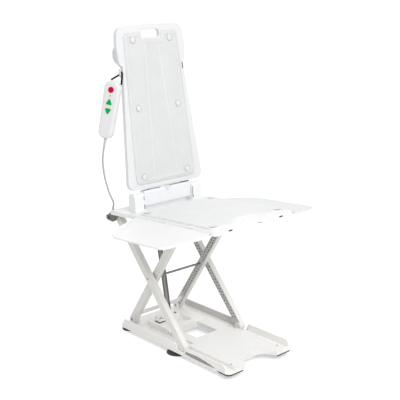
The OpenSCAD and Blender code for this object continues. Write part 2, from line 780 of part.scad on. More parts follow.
// The handset's cord enters the top of the right bracket, behind the deck
gland_v = 2;
gland_foot = 10;
gland_l = 6;
module cord_gland() {
    color(rubber) in_seat() translate([-bracket_x - bracket_t / 2, gland_v, gland_foot])
        cylinder(h = gland_l, d = cord_d + 3.5);
}
sleeve_head_y = -23;
module lead_gland() {
    gland_h = 10;
    v = (sleeve_head_y - top_pin[0]) / cos(seat_tilt);
    color(rubber) in_seat() translate([0, v, seat_under - gland_h]) cylinder(h = gland_h, d = sleeve_d + 8);
}

// Side flaps droop outwards from their hinge and fold up
flap_edge = 7;
flap_low = -6;
flap_from = 167;
flap_to = seat_front - 5;
flap_out = (flap_reach - flap_axis_x) / cos(flap_droop);
// A corner of the flap: shares of its reach and of its length, and a radius as a share of its reach
function flap_corner(u, v, r) = [u * flap_out, -flap_from - v * (flap_to - flap_from), r * flap_out];
module side_flap() {
    color(white) in_seat() translate([flap_axis_x, 0, flap_axis_w]) rotate([0, flap_droop, 0]) difference() {
        union() {
            translate([0, 0, flap_low]) linear_extrude(flap_t) polygon(round_outline([
                flap_corner(flap_edge / flap_out, 0, 0.024), flap_corner(0.53, 0.046, 0.36),
                flap_corner(0.9, 0.161, 0.24), flap_corner(1, 0.242, 0.15), flap_corner(1, 0.864, 0.2),
                flap_corner(flap_edge / flap_out, 1, 0.036)]));
            for (start = flap_knuckle_starts) {
                translate([0, start, 0]) rotate([-90, 0, 0]) cylinder(h = flap_knuckle_l, d = knuckle_d);
                translate([0, start, flap_low + 1]) cube([flap_edge + eps, flap_knuckle_l, flap_t - 1]);
            }
        }
        translate([0, -seat_front, 0]) rotate([-90, 0, 0])
            cylinder(h = seat_front, d = flap_pin_d + 2 * pin_clearance);
    }
}
module flap_left() { side_flap(); }
module flap_right() { mirror([1, 0, 0]) side_flap(); }

// Raises a shape drawn in x and s, along the panel, from the depth p0 behind the panel's front
module on_panel(p0, depth) {
    translate([0, p0 + depth, 0]) rotate([90, 0, 0]) linear_extrude(depth) children();
}

// Hinge bracket between the cheeks, with a tongue up the back of the panel
tongue_hw = 80;
tongue_t = 6;
tongue_top = 132;
tongue_low = 18;
module back_bracket() {
    hw = cheek_x - 1.5;
    color(white) {
        in_hinge() difference() {
            raise_x(-hw, 2 * hw) polygon(round_outline([
                [-13, -36, 8], [-13, 22, 7], [13, 22, 9], [13, -36, 8]]));
            rod_x(-hw - eps, hw + eps, pin_d + 2 * pin_clearance);
        }
        in_back() on_panel(back_wall, tongue_t)
            translate([-tongue_hw, tongue_low]) square([2 * tongue_hw, tongue_top - tongue_low]);
    }
}

// Backrest panel: a shallow shell with a waist, a wider head and a hand slot
slot_w = 84;
slot_h = 28;
slot_s = back_top - 33;
notch_s = back_top - 142;
crown_r = 0.84 * back_top;
function back_half(i) = [
    [back_hw - i, back_bottom + i, 28 - i], [waist_hw - i, notch_s, 4], [head_hw - 4 - i, notch_s + 12, 5],
    [head_hw + 1 - i, notch_s + 64, 60], [head_hw - 6 - i, back_top - 7 - i, 30 - i]];
function back_outline(i) =
    round_outline(concat(back_half(i), [[0, back_top - i, crown_r]], mirrored(back_half(i))));
module back_panel() {
    rib_t = 4;
    rib_d = 7;
    color(white) in_back() {
        difference() {
            on_panel(0, back_d) polygon(back_outline(0));
            difference() {
                on_panel(back_wall, back_d) polygon(back_outline(back_wall));
                on_panel(0, back_d) translate([0, slot_s])
                    round_rect(slot_w + 2 * back_wall, slot_h + 2 * back_wall, 14);
                on_panel(0, back_wall + rib_d) {
                    for (s = [200, 330, 450]) translate([-back_hw, s]) square([2 * back_hw, rib_t]);
                    for (x = [-92, 92 - rib_t]) translate([x, 0]) square([rib_t, back_top]);
                }
            }
            on_panel(-1, back_d + 2) translate([0, slot_s]) round_rect(slot_w, slot_h, 12);
            on_panel(back_wall, tongue_t) translate([-tongue_hw, 0]) square([2 * tongue_hw, tongue_top]);
            hook_stem();
        }
    }
}

// Back cover: a thin moulded pad with two ridges and a raised rim, notched round the hand slot
pad_low = 45;
pad_top = back_top - 28;
notch_d = 26;
pad_notch = pad_top - notch_d;
pad_low_hw = 136;
pad_top_hw = 120;
ridge_h = 1.8;
function pad_hw(s) = pad_low_hw + (pad_top_hw - pad_low_hw) * (s - pad_low) / (pad_top - pad_low);
function pad_head(x) = let (d = abs(x) - slot_w / 2 - 6)
    d > 12 ? pad_top : d < 0 ? pad_notch : pad_notch + (pad_top - pad_notch) * (1 - cos(180 * d / 12)) / 2;
// Column n of 10 across half the pad: f is the ridge's place
function pad_col(n, f) = [0, 0.5 * f, f - 0.045, f, f + 0.045, 0.52, 0.68, 0.86, 0.92, 0.97, 1][n];
pad_rows = [0, 0.006, 0.018, 0.035, 0.12, 0.24, 0.36, 0.48, 0.6, 0.72, 0.84, 0.93, 0.965, 0.982, 0.994, 1];
pad_cols = [for (n = [-10:10]) n];
function pad_point(n, r, lift) =
    let (f = 0.4 - 0.15 * r, u = sign(n) * pad_col(abs(n), f),
        s0 = pad_low + r * (pad_top - pad_low),
        l = pad_head(u * pad_hw(pad_top)) - pad_low, s = pad_low + r * l, d = min(r, 1 - r) * l,
        hw = pad_hw(s0) - corner_inset(d, cover_corner_r),
        rise = min(edge_rise(d), edge_rise((1 - abs(u)) * hw)),
        ridge = abs(n) == 3 || abs(n) == 8 ? ridge_h * rise : 0,
        flat = back_cover_t - ridge_h)
    [u * hw, -lift * (cover_edge + (flat - cover_edge) * rise + ridge), s];
module back_cover() {
    color(cover_grey) in_back() pad(
        [for (r = pad_rows, n = pad_cols) pad_point(n, r, 1)],
        [for (r = pad_rows, n = pad_cols) pad_point(n, r, 0)], len(pad_cols));
}
back_button_places = [[83, 545], [90, 310], [100, 70]];
module back_cover_buttons() {
    color(white) in_back() for (p = back_button_places, side = [-1, 1])
        translate([side * p[0], -back_cover_t + ridge_h - gap, p[1]]) rotate([90, 0, 0]) cover_button();
}

// Round lugs behind the head's side edges
lug_s = back_top - 99;
head_lug_r = 32;
head_lug_x = 114;
head_lug_w = 28;
lug_depth = 43;
module head_lugs() {
    color(white) in_back() both_sides() difference() {
        translate([0, lug_depth - head_lug_r, lug_s])
            rod_x(head_lug_x, head_lug_x + head_lug_w, 2 * head_lug_r);
        translate([head_lug_x - 1, lug_depth - 2 * head_lug_r - 1, lug_s - head_lug_r - 1])
            cube([head_lug_w + 2, 2 * head_lug_r - lug_depth + back_wall + 1, 2 * head_lug_r + 2]);
    }
}

// Peg on the panel's right edge that holds the handset's strap
hook_s = notch_s - 20;
hook_d = 10;
hook_l = 12;
hook_p = 7;
hook_root = waist_hw + (back_hw - waist_hw) * (notch_s - hook_s) / (notch_s - back_bottom);
module hook_stem() {
    translate([0, hook_p, hook_s]) rod_x(-hook_root - hook_l, -hook_root + back_wall / 2, hook_d);
}
module strap_hook() {
    // The cap keeps the strap on the peg
    cap_t = 3;
    color(white) in_back() {
        hook_stem();
        raise_x(-hook_root - hook_l, cap_t) polygon(round_outline([
            [hook_p, hook_s - 13, 3], [hook_p, hook_s + 17, 3],
            [hook_p - 6, hook_s + 17, 3], [hook_p - 6, hook_s - 13, 3]]));
    }
}

// Latch tab on the front of the hinge bracket
tab_t = 3;
module latch_tab() {
    color(white) in_hinge() translate([0, -13 - gap, 0]) rotate([90, 0, 0]) linear_extrude(tab_t)
        polygon(round_outline([[15, 25, 2], [0, 8, 2], [-15, 25, 2]]));
}

// Handset: two shells with the board behind the keys and the battery behind the board
handset_half = handset_l / 2;
front_y = -handset_t / 2;
function handset_outline(i) = let (top = handset_w / 2 - i, low = handset_w / 2 - 4 - i, h = handset_half - i)
    round_outline([[low, -h, 18 - i], [top, h, 24 - i], [-top, h, 24 - i], [-low, -h, 18 - i]]);
module handset_slab(y0, t) { translate([0, y0 + t, 0]) rotate([90, 0, 0]) linear_extrude(t) children(); }
stop_place = 70;
lens_place = 49;
up_place = 26;
down_place = -2;
key_r = 14.5;
lens_d = 4;
function key_outline(r) = round_outline([for (a = [90, 210, 330]) [r * cos(a), r * sin(a), 3]]);
module key_hole() { polygon(key_outline(key_r + 2 * gap)); }
module handset_front_shell() {
    color(white) in_handset() difference() {
        handset_slab(front_y, -front_y) polygon(handset_outline(0));
        handset_slab(front_y + handset_wall, -front_y) polygon(handset_outline(handset_wall));
        handset_slab(front_y - 1, handset_wall + 2) {
            translate([0, stop_place]) circle(d = stop_d + 2 * gap);
            translate([0, lens_place]) circle(d = lens_d);
            translate([0, up_place]) key_hole();
            translate([0, down_place]) rotate(180) key_hole();
        }
    }
}
module handset_rear_shell() {
    color(pale) in_handset() difference() {
        handset_slab(0, -front_y) polygon(handset_outline(0));
        handset_slab(-1, -front_y - handset_wall + 1) polygon(handset_outline(handset_wall));
    }
}
board_y = -5;
board_t = 1.6;
module handset_board() {
    color("#2f6b46") in_handset() handset_slab(board_y, board_t) intersection() {
        polygon(handset_outline(handset_wall + gap));
        translate([-handset_w, -34]) square([2 * handset_w, handset_l]);
    }
}
module handset_battery() {
    t = 10;
    color("#3a4048") in_handset() handset_slab(-front_y - handset_wall - gap - t, t)
        translate([0, -42]) round_rect(38, 86, 4);
}
key_in = 6;
module key_slab() { handset_slab(front_y - key_h, key_h + key_in) children(); }
red = "#d3173c";
green = "#12b062";
module stop_button() { color(red) in_handset() key_slab() translate([0, stop_place]) circle(d = stop_d); }
module up_button() {
    color(green) in_handset() key_slab() translate([0, up_place]) polygon(key_outline(key_r));
}
module down_button() {
    color(green) in_handset() key_slab() translate([0, down_place]) rotate(180) polygon(key_outline(key_r));
}
module light_lens() {
    proud = 0.4;
    color("#77797b") in_handset() handset_slab(front_y - proud, board_y - front_y + proud)
        translate([0, lens_place]) circle(d = lens_d);
}
relief_l = 25;
module strain_relief() {
    color(pale) in_handset() translate([0, 0, -handset_half - relief_l])
        cylinder(h = relief_l, d1 = cord_d + 1, d2 = 11);
}

// Strap from the handset's top over the peg and back, in the base's frame
strap_x = -hook_root - 4.1;
strap_turn = hook_d / 2 + 1.8;
function back_place(x, p, s) = [x, hinge_y - panel_front + p * cos(back_lean) + s * sin(back_lean),
    hinge_z + s * cos(back_lean) - p * sin(back_lean)];
function strap_over(a) = back_place(strap_x, hook_p + strap_turn * cos(a), hook_s + strap_turn * sin(a));
strap_start = [-188.2, -31.2, 933.9];
strap_end = [-170.1, -62.2, 918.8];
strap_route = concat(
    [for (t = [0:0.25:0.75]) strap_start + t * (strap_over(-20) - strap_start)],
    [for (a = [-20:28.5:208]) strap_over(a)],
    [for (t = [0.25:0.25:1]) strap_over(208) + t * (strap_end - strap_over(208))]);
// Half the strap's thickness, and its width as a multiple of that
strap_r = 1.2;
strap_wide = 2.8;
module handset_strap() { color(rubber) in_base() tube(strap_route, [1, 0, 0], strap_r, 8, strap_wide); }

// The handset's cord, from the strain relief to the gland on the right bracket, in the base's frame
cord_route = [
    [-215.1, -17, 708.6], [-217.8, -14.8, 690], [-219.3, -12, 670], [-219, -9.5, 645], [-215, -9, 615],
    [-210, -9.5, 585], [-204.5, -13, 558], [-198, -16, 533], [-188.5, -14, 516], [-178.5, -8.5, 502],
    [-170, -1, 490.5], [-163, 8.5, 480.5], [-158, 18, 473], [-156.2, 22.4, 466.5], [-156, 22.3, 460.1]];
module handset_cord() { color(shade) in_base() tube(cord_route, [0, 1, 0], cord_d / 2, 10); }

// The lead sleeve stands between the rear housing and the seat, in the base's frame
sleeve_places = [
    [-96, 44.5], [-95, 60], [-89, 100], [-81, 145], [-72, 190], [-63, 235], [-54, 280], [-46, 325],
    [-38, 370], [-30, 415], [-24.6, 439.8], [-23, 451.3]];
sleeve_route = [for (p = sleeve_places) [0, p[0], p[1]]];
module lead_sleeve() { color("#57534f") in_base() tube(sleeve_route, [1, 0, 0], sleeve_d / 2, 12); }

base_tray();
foot_platform();
rear_housing();
side_rail_left();
side_rail_right();
base_pivot_pins();
suction_cups();
cup_studs();
front_pads();
base_screws();
rear_arm_left();
rear_arm_right();
rear_arm_crossbar();
centre_axle();
upper_rollers();
upper_roller_pins();
front_arm_left();
front_arm_right();
lower_rollers();
top_pivot_pins();
drive_nut();
seat_shell();
seat_cover();
seat_cover_buttons();
seat_track_left();
seat_track_right();
hinge_cheek_left();
hinge_cheek_right();
back_hinge_pin();
pivot_bracket_left();
pivot_bracket_right();
drive_tube();
drive_motor();
screw_gearbox();
lead_screw();
screw_bearing();
flap_hinge_pins();
cord_gland();
lead_gland();
flap_left();
flap_right();
back_bracket();
back_panel();
back_cover();
back_cover_buttons();
head_lugs();
strap_hook();
latch_tab();
handset_front_shell();
handset_rear_shell();
handset_battery();
handset_board();
handset_strap();
strain_relief();
light_lens();
stop_button();
up_button();
down_button();
handset_cord();
lead_sleeve();
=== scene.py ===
import bmesh
import bpy
import numpy as np
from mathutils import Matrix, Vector


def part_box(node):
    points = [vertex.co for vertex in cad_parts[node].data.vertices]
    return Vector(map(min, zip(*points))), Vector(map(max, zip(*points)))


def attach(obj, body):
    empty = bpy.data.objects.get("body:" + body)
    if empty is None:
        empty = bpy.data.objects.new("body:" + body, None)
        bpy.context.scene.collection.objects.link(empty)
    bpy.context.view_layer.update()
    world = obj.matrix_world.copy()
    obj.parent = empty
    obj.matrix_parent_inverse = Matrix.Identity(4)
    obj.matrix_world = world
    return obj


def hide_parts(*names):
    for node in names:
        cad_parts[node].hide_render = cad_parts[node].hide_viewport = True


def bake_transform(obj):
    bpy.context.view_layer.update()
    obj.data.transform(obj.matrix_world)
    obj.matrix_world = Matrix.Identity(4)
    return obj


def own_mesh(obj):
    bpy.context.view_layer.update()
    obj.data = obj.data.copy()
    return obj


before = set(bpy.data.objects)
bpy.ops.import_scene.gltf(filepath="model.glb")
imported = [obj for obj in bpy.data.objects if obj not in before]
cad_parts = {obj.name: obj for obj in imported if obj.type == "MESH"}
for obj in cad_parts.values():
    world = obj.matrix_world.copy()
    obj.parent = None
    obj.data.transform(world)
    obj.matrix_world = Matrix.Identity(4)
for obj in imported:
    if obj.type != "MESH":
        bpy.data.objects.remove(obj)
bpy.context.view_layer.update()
scene = bpy.context.scene
scene.view_settings.view_transform = "Standard"

# Camera: a long lens a little above the lift's top, in front of the sitter and to their right.
# Its place comes from the vanishing lines of the base, the seat and the back.
camera_place = (-2.0208, -2.2255, 1.3427)
camera_aim = (0.01994, 0.01078, 0.51648)
lens_mm, sensor_mm = 80.96, 36.0


def place_aimed(piece, place, aim):
    """Puts a camera or a lamp at a place and turns it towards an aim, with its top up."""
    piece.location = place
    piece.rotation_euler = (Vector(aim) - Vector(place)).to_track_quat("-Z", "Y").to_euler()
    scene.collection.objects.link(piece)


camera_data = bpy.data.cameras.new("camera")
camera_data.sensor_width = sensor_mm
camera_data.lens = lens_mm
camera = bpy.data.objects.new("camera", camera_data)
place_aimed(camera, camera_place, camera_aim)
scene.camera = camera

# Handset cord: a round lead with a soft, extruded PVC jacket, which hangs from the handset's strain
# relief down to the gland on top of the right pivot bracket.
base_rear = round(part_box("base_tray")[1].y, 6)
cord_d = 0.0065
cord_steps, cord_sides, cord_easing = 120, 20, 24


def base_points(rows):
    """Points given in millimetres from the base's rear edge, in the model's metres."""
    return np.array(rows, float) / 1000 + [0, base_rear, 0]


def unit(rows):
    """Rows of vectors, each brought to a length of one."""
    return rows / np.linalg.norm(rows, axis=-1, keepdims=True)


def smooth_path(points, count, fine=40):
    """A Catmull-Rom curve through the points, resampled to equal steps along its length."""
    p = np.vstack([2 * points[0] - points[1], points, 2 * points[-1] - points[-2]])
    t = np.linspace(0, len(points) - 1, fine * len(points))
    i = np.minimum(t.astype(int), len(points) - 2)
    f = (t - i)[:, None]
    a, b, c, d = p[i], p[i + 1], p[i + 2], p[i + 3]
    curve = 0.5 * (2 * b + (c - a) * f + (2 * a - 5 * b + 4 * c - d) * f**2
                   + (3 * b - a - 3 * c + d) * f**3)
    run = np.concatenate([[0], np.cumsum(np.linalg.norm(np.diff(curve, axis=0), axis=1))])
    even = np.linspace(0, run[-1], count)
    return np.stack([np.interp(even, run, curve[:, k]) for k in range(3)], axis=1)


def eased(path, passes):
    """A path with softer bends: in each pass every inner point moves half way to its neighbours' mean."""
    path = path.copy()
    for _ in range(passes):
        path[1:-1] = (path[:-2] + 2 * path[1:-1] + path[2:]) / 4
    return path


def carry_frames(path):
    """For each point of a path: its direction, and two axes across it that turn as little as they can."""
    off_axis = [0.31, 0.77, 0.55]
    along = unit(np.gradient(path, axis=0))
    across = np.empty_like(path)
    across[0] = unit(np.cross(along[0], off_axis))
    for k in range(1, len(path)):
        across[k] = unit(across[k - 1] - along[k] * (across[k - 1] @ along[k]))
    return along, across, np.cross(along, across)


def spokes(axes, sides):
    """Unit vectors that point away from a path, evenly spaced around it at each of its points."""
    turn = np.linspace(0, 2 * np.pi, sides, endpoint=False)[:, None]
    return np.cos(turn) * axes[1][:, None] + np.sin(turn) * axes[2][:, None]


def new_piece(name, points, faces, body, sharp=40):
    """A mesh object from points and faces, turned outward, smooth but for edges sharper than an angle."""
    mesh = bpy.data.meshes.new(name)
    mesh.from_pydata(points.tolist(), [], faces)
    shape = bmesh.new()
    shape.from_mesh(mesh)
    bmesh.ops.recalc_face_normals(shape, faces=shape.faces)
    shape.to_mesh(mesh)
    shape.free()
    mesh.polygons.foreach_set("use_smooth", [True] * len(mesh.polygons))
    mesh.set_sharp_from_angle(angle=np.radians(sharp))
    mesh.update()
    piece = bpy.data.objects.new(name, mesh)
    scene.collection.objects.link(piece)
    if body:
        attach(piece, body)
    return piece


def grid_faces(rows, cols, closed, looped=False):
    """Quads of a grid of points, row by row; closed joins its last column to the first, looped its rows."""
    r = np.arange(rows if looped else rows - 1)[:, None]
    c = np.arange(cols if closed else cols - 1)[None, :]
    below = (r + 1) % rows
    right = (c + 1) % cols
    quads = np.stack([r * cols + c, r * cols + right, below * cols + right, below * cols + c], axis=-1)
    return quads.reshape(-1, 4).tolist()


def capped_faces(rows, cols):
    """Faces of a closed section carried along rows: a wall of quads, and one flat cap at each end."""
    last = (rows - 1) * cols
    return grid_faces(rows, cols, True) + [list(range(cols))[::-1], list(range(last, last + cols))]


def swept_tube(name, path, radius, sides, body, axes=None):
    """A round section carried along a path; radius may hold one value for each point and side."""
    r = np.broadcast_to(radius, (len(path), sides))[..., None]
    points = path[:, None] + r * spokes(axes or carry_frames(path), sides)
    return new_piece(name, points.reshape(-1, 3), capped_faces(len(path), sides), body)


cord_route = base_points([
    (-215.1, -17, 708.6), (-217.8, -14.8, 690), (-219.3, -12, 670), (-219, -9.5, 645), (-215, -9, 615),
    (-210, -9.5, 585), (-204.5, -13, 558), (-198, -16, 533), (-188.5, -14, 516), (-178.5, -8.5, 502),
    (-170, -1, 490.5), (-163, 8.5, 480.5), (-158, 18, 473), (-156.2, 22.4, 466.5), (-156, 22.3, 460.1)])
cord_path = eased(smooth_path(cord_route, cord_steps), cord_easing)
handset_cord = swept_tube("cord_of_handset", cord_path, cord_d / 2, cord_sides, None)


def surface_group(name, inputs, outputs):
    """An empty shader node group with named sockets, and its two end nodes."""
    group = bpy.data.node_groups.new(name, "ShaderNodeTree")
    for label, kind, value in inputs:
        socket = group.interface.new_socket(label, in_out="INPUT", socket_type=kind)
        socket.default_value = value
    for label, kind in outputs:
        group.interface.new_socket(label, in_out="OUTPUT", socket_type=kind)
    return group, group.nodes.new("NodeGroupInput"), group.nodes.new("NodeGroupOutput")


def put(tree, kind, links=(), **values):
    """Adds a node to a tree; links give its inputs, by name or number, a value or an output socket."""
    made = tree.nodes.new(kind)
    for key, value in values.items():
        setattr(made, key, value)
    for socket, source in links:
        if hasattr(source, "is_output"):
            tree.links.new(source, made.inputs[socket])
        else:
            made.inputs[socket].default_value = source
    return made


def maths(tree, kind, *values):
    """One step of arithmetic on numbers or output sockets, as an output socket."""
    return put(tree, "ShaderNodeMath", list(enumerate(values)), operation=kind).outputs[0]


def scaled(tree, colour, factor):
    """A colour times a factor, as an output socket."""
    return put(tree, "ShaderNodeVectorMath", [(0, colour), ("Scale", factor)], operation="SCALE").outputs[0]


# The skin of moulded plastic: a fine spark-eroded grain, slow drifts of tone where the melt cooled,
# and faint rubbed patches where it is handled and wiped. Colour, roughness and height come out.
skin, skin_in, skin_out = surface_group(
    "moulded_skin",
    [("Tint", "NodeSocketColor", (0.85, 0.85, 0.85, 1)), ("Grain per metre", "NodeSocketFloat", 900.0),
     ("Drift", "NodeSocketFloat", 0.05), ("Roughness", "NodeSocketFloat", 0.42),
     ("Rub", "NodeSocketFloat", 0.1)],
    [("Colour", "NodeSocketColor"), ("Roughness", "NodeSocketFloat"), ("Height", "NodeSocketFloat")])
skin_place = put(skin, "ShaderNodeTexCoord").outputs["Object"]
skin_drift = put(skin, "ShaderNodeTexNoise", [("Vector", skin_place), ("Scale", 7.0), ("Detail", 4.0)])
skin_rub = put(skin, "ShaderNodeTexNoise", [
    ("Vector", skin_place), ("Scale", 34.0), ("Detail", 6.0), ("Roughness", 0.7)])
skin_grain = put(skin, "ShaderNodeTexNoise", [
    ("Vector", skin_place), ("Scale", skin_in.outputs["Grain per metre"]), ("Detail", 2.0)])
skin_loss = maths(skin, "MULTIPLY", skin_drift.outputs["Fac"], skin_in.outputs["Drift"])
skin_colour = scaled(skin, skin_in.outputs["Tint"], maths(skin, "SUBTRACT", 1.0, skin_loss))
skin_worn = put(skin, "ShaderNodeMapRange", [
    ("Value", skin_rub.outputs["Fac"]), ("From Min", 0.35), ("From Max", 0.7)]).outputs["Result"]
skin_rough = maths(skin, "MULTIPLY_ADD", skin_worn, skin_in.outputs["Rub"], skin_in.outputs["Roughness"])
skin.links.new(skin_colour, skin_out.inputs["Colour"])
skin.links.new(skin_rough, skin_out.inputs["Roughness"])
skin.links.new(skin_grain.outputs["Fac"], skin_out.inputs["Height"])


def plastic(name, tint, grain=900.0, drift=0.05, rough=0.42, rub=0.1, bump=0.06, edge=0.0012, **shader):
    """A moulded material: the skin group feeds one shader, and a bevel rounds the look of hard edges."""
    grain_depth = 0.0004
    material = bpy.data.materials.new(name)
    material.use_nodes = True
    tree = material.node_tree
    bsdf = tree.nodes["Principled BSDF"]
    look = put(tree, "ShaderNodeGroup", node_tree=skin)
    values = {"Tint": (*tint, 1), "Grain per metre": grain, "Drift": drift, "Roughness": rough, "Rub": rub}
    for key, value in values.items():
        look.inputs[key].default_value = value
    soft = put(tree, "ShaderNodeBevel", [("Radius", edge)], samples=6)
    relief = put(tree, "ShaderNodeBump", [
        ("Height", look.outputs["Height"]), ("Normal", soft.outputs["Normal"]), ("Strength", bump),
        ("Distance", grain_depth)])
    tree.links.new(look.outputs["Colour"], bsdf.inputs["Base Color"])
    tree.links.new(look.outputs["Roughness"], bsdf.inputs["Roughness"])
    tree.links.new(relief.outputs["Normal"], bsdf.inputs["Normal"])
    for key, value in shader.items():
        bsdf.inputs[key.replace("_", " ")].default_value = value
    return material


def dress(material, *names):
    """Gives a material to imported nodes, by name, or to new pieces."""
    for name in names:
        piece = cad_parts[name] if isinstance(name, str) else name
        piece.data.materials.clear()
        piece.data.materials.append(material)


cord_skin = plastic("cord_pvc", (0.46, 0.45, 0.435), grain=1500, rough=0.45, edge=0.0005)
dress(cord_skin, handset_cord)
relief_rubber = plastic("strain_relief_rubber", (0.58, 0.575, 0.56), grain=1200, rough=0.55)
dress(relief_rubber, "strain_relief")
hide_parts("handset_cord")
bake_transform(handset_cord)

# Lead sleeve: a dark hose that carries the drive's lead from the base housing up to the seat. It is
# extruded rubber with five shallow flutes.
sleeve_d = 0.020
sleeve_steps, sleeve_sides = 90, 48
flutes, flute_depth = 5, 0.0016
sleeve_route = base_points([
    (0, -96, 44.5), (0, -95, 60), (0, -89, 100), (0, -81, 145), (0, -72, 190), (0, -63, 235), (0, -54, 280),
    (0, -46, 325), (0, -38, 370), (0, -30, 415), (0, -24.6, 439.8), (0, -23, 451.3)])
sleeve_path = smooth_path(sleeve_route, sleeve_steps)
sleeve_axes = carry_frames(sleeve_path)
sleeve_turn = np.linspace(0, 2 * np.pi, sleeve_sides, endpoint=False)
# A flute is cut where the cosine of its turns is above 0, to a depth of that cosine squared.
sleeve_r = sleeve_d / 2 - flute_depth * np.clip(np.cos(flutes * sleeve_turn), 0, 1) ** 2
lead_sleeve = swept_tube("sleeve_of_lead", sleeve_path, sleeve_r, sleeve_sides, "base", sleeve_axes)
sleeve_skin = plastic("sleeve_rubber", (0.085, 0.078, 0.07), grain=1400, rough=0.3, rub=0.1)
dress(sleeve_skin, lead_sleeve)


def mixed(tree, mask, first, second):
    """Two colours mixed by a mask, as an output socket."""
    return put(tree, "ShaderNodeMix", [(0, mask), (6, first), (7, second)], data_type="RGBA").outputs[2]


# Painted highlight: a paler band runs up the side of the hose that faces the camera and up the side
# opposite. It is full where the cosine of the surface's angle to that side passes 0.93, at about 22 degrees,
# and gone where it falls to 0.88.
highlight_side = [-0.67, -0.74, 0.14]
highlight_from, highlight_full = 0.88, 0.93
highlight_colour = (0.34, 0.325, 0.30, 1)
highlight_face = np.abs(spokes(sleeve_axes, sleeve_sides) @ highlight_side)
highlight_share = np.clip((highlight_face - highlight_from) / (highlight_full - highlight_from), 0, 1)
sleeve_highlight = lead_sleeve.data.attributes.new("band", "FLOAT", "POINT")
sleeve_highlight.data.foreach_set("value", highlight_share.ravel())
sleeve_tree = sleeve_skin.node_tree
sleeve_base = sleeve_tree.nodes["Principled BSDF"].inputs["Base Color"]
sleeve_mask = put(sleeve_tree, "ShaderNodeAttribute", attribute_name="band").outputs["Fac"]
sleeve_tree.links.new(
    mixed(sleeve_tree, sleeve_mask, sleeve_base.links[0].from_socket, highlight_colour), sleeve_base)
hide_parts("lead_sleeve")
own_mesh(lead_sleeve)
dress(plastic("gland_rubber", (0.03, 0.03, 0.032), rough=0.55), "cord_gland", "lead_gland")

# Base: a tray, a raised foot platform and a rear housing, moulded in warm white plastic and screwed
# together, with an upstand along each side. The tray, housing and rails get a paler copy of the white than
# the platform: painted light that lifts their sides, which lie in shade.
base_finish = {"grain": 700, "drift": 0.06, "rough": 0.45}
base_white = plastic("base_white", (0.87, 0.865, 0.85), **base_finish)
tray_white_lit = plastic("tray_white_lit", (0.95, 0.94, 0.92), **base_finish)
rail_white_light_and_shade = plastic("rail_white_light_and_shade", (0.95, 0.932, 0.905), **base_finish)
dress(base_white, "foot_platform")
dress(tray_white_lit, "base_tray", "rear_housing")
dress(rail_white_light_and_shade, "side_rail_left", "side_rail_right")


def shaded(material, tone):
    """Multiplies the base colour of a material by a tone, an output socket of its own tree."""
    tree = material.node_tree
    base = tree.nodes["Principled BSDF"].inputs["Base Color"]
    tree.links.new(scaled(tree, base.links[0].from_socket, tone), base)


# Painted shade: the rails are darker on the rear of their inner faces, which lie in shade between the arms.
rail_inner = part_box("side_rail_left")[0].x
rail_shade_from, rail_shade_loss, rail_slack = -0.105, 0.34, 0.0003
rail_tree = rail_white_light_and_shade.node_tree
rail_place = put(rail_tree, "ShaderNodeSeparateXYZ", [
    (0, put(rail_tree, "ShaderNodeTexCoord").outputs["Object"])])
rail_off = maths(rail_tree, "ABSOLUTE", rail_place.outputs["X"])
rail_face = maths(rail_tree, "LESS_THAN", rail_off, rail_inner + rail_slack)
rail_rear = maths(rail_tree, "GREATER_THAN", rail_place.outputs["Y"], rail_shade_from)
rail_shade_mask = maths(rail_tree, "MULTIPLY", rail_face, rail_rear)
shaded(rail_white_light_and_shade, maths(rail_tree, "MULTIPLY_ADD", rail_shade_mask, -rail_shade_loss, 1.0))

# Side strips and clamp: a thin grey strip on each side of the base, painted shade where its lower edge lies
# in shadow, and a small block that clamps the lead beside its collar, with a dark sheet under it as painted
# shade, and dark marks for a screw, a seam and the collar. They are fixed to the base.
shade_strip_in, shade_strip_out, shade_strip_round = 153.4, 154.5, 0.4
shade_strip_corners = np.array([
    (-362, 27, 2), (-366, 35.5, 3), (-420, 38.5, 8), (-464, 35, 8), (-512, 27.5, 1), (-512, 25.5, 1),
    (-464, 23.5, 4), (-390, 24.5, 4)])
block_box = ((-74, -132, 46.2), (-48, -108, 54))
under_block_shade_box = ((-76, -134, 43.8), (-46, -106, 46.6))
screw_box = ((-66, -124, 53.4), (-58, -117, 54.5))
seam_box = ((-53, -130, 53.4), (-50, -110, 54.4))
collar_box = ((32, -98, 43.8), (38, -88, 45.4))
block_edge, dark_mark_edge = 3, 1.2
hands = [(1, "left"), (-1, "right")]


def rounded_corners(corners, steps=12):
    """A closed outline from rows of x, y and radius: each corner is an arc that meets both its sides."""
    at, r = np.asarray(corners[:, :2], float), corners[:, 2]
    u = unit(np.roll(at, 1, axis=0) - at)
    v = unit(np.roll(at, -1, axis=0) - at)
    half = np.arccos(np.clip((u * v).sum(1), -1, 1)) / 2
    centre = at + unit(u + v) * (r / np.sin(half))[:, None]
    first = at + u * (r / np.tan(half))[:, None] - centre
    second = at + v * (r / np.tan(half))[:, None] - centre
    start = np.arctan2(first[:, 1], first[:, 0])
    sweep = (np.arctan2(second[:, 1], second[:, 0]) - start + np.pi) % (2 * np.pi) - np.pi
    turn = start[:, None] + sweep[:, None] * np.linspace(0, 1, steps)
    arcs = centre[:, None] + r[:, None, None] * np.stack([np.cos(turn), np.sin(turn)], axis=-1)
    return arcs.reshape(-1, 2)


def inward(outline, sharpest=-0.5):
    """The direction into a closed outline at each of its points, scaled so that its sides move in evenly."""
    before = unit(outline - np.roll(outline, 1, axis=0))
    after = unit(np.roll(outline, -1, axis=0) - outline)
    side = unit(np.stack([-(before + after)[:, 1], (before + after)[:, 0]], axis=1))
    x, y = outline.T
    area = (x * np.roll(y, -1) - y * np.roll(x, -1)).sum()
    bend = np.clip((before * after).sum(1), sharpest, 1)
    return side * np.sign(area) / np.sqrt((1 + bend) / 2)[:, None]


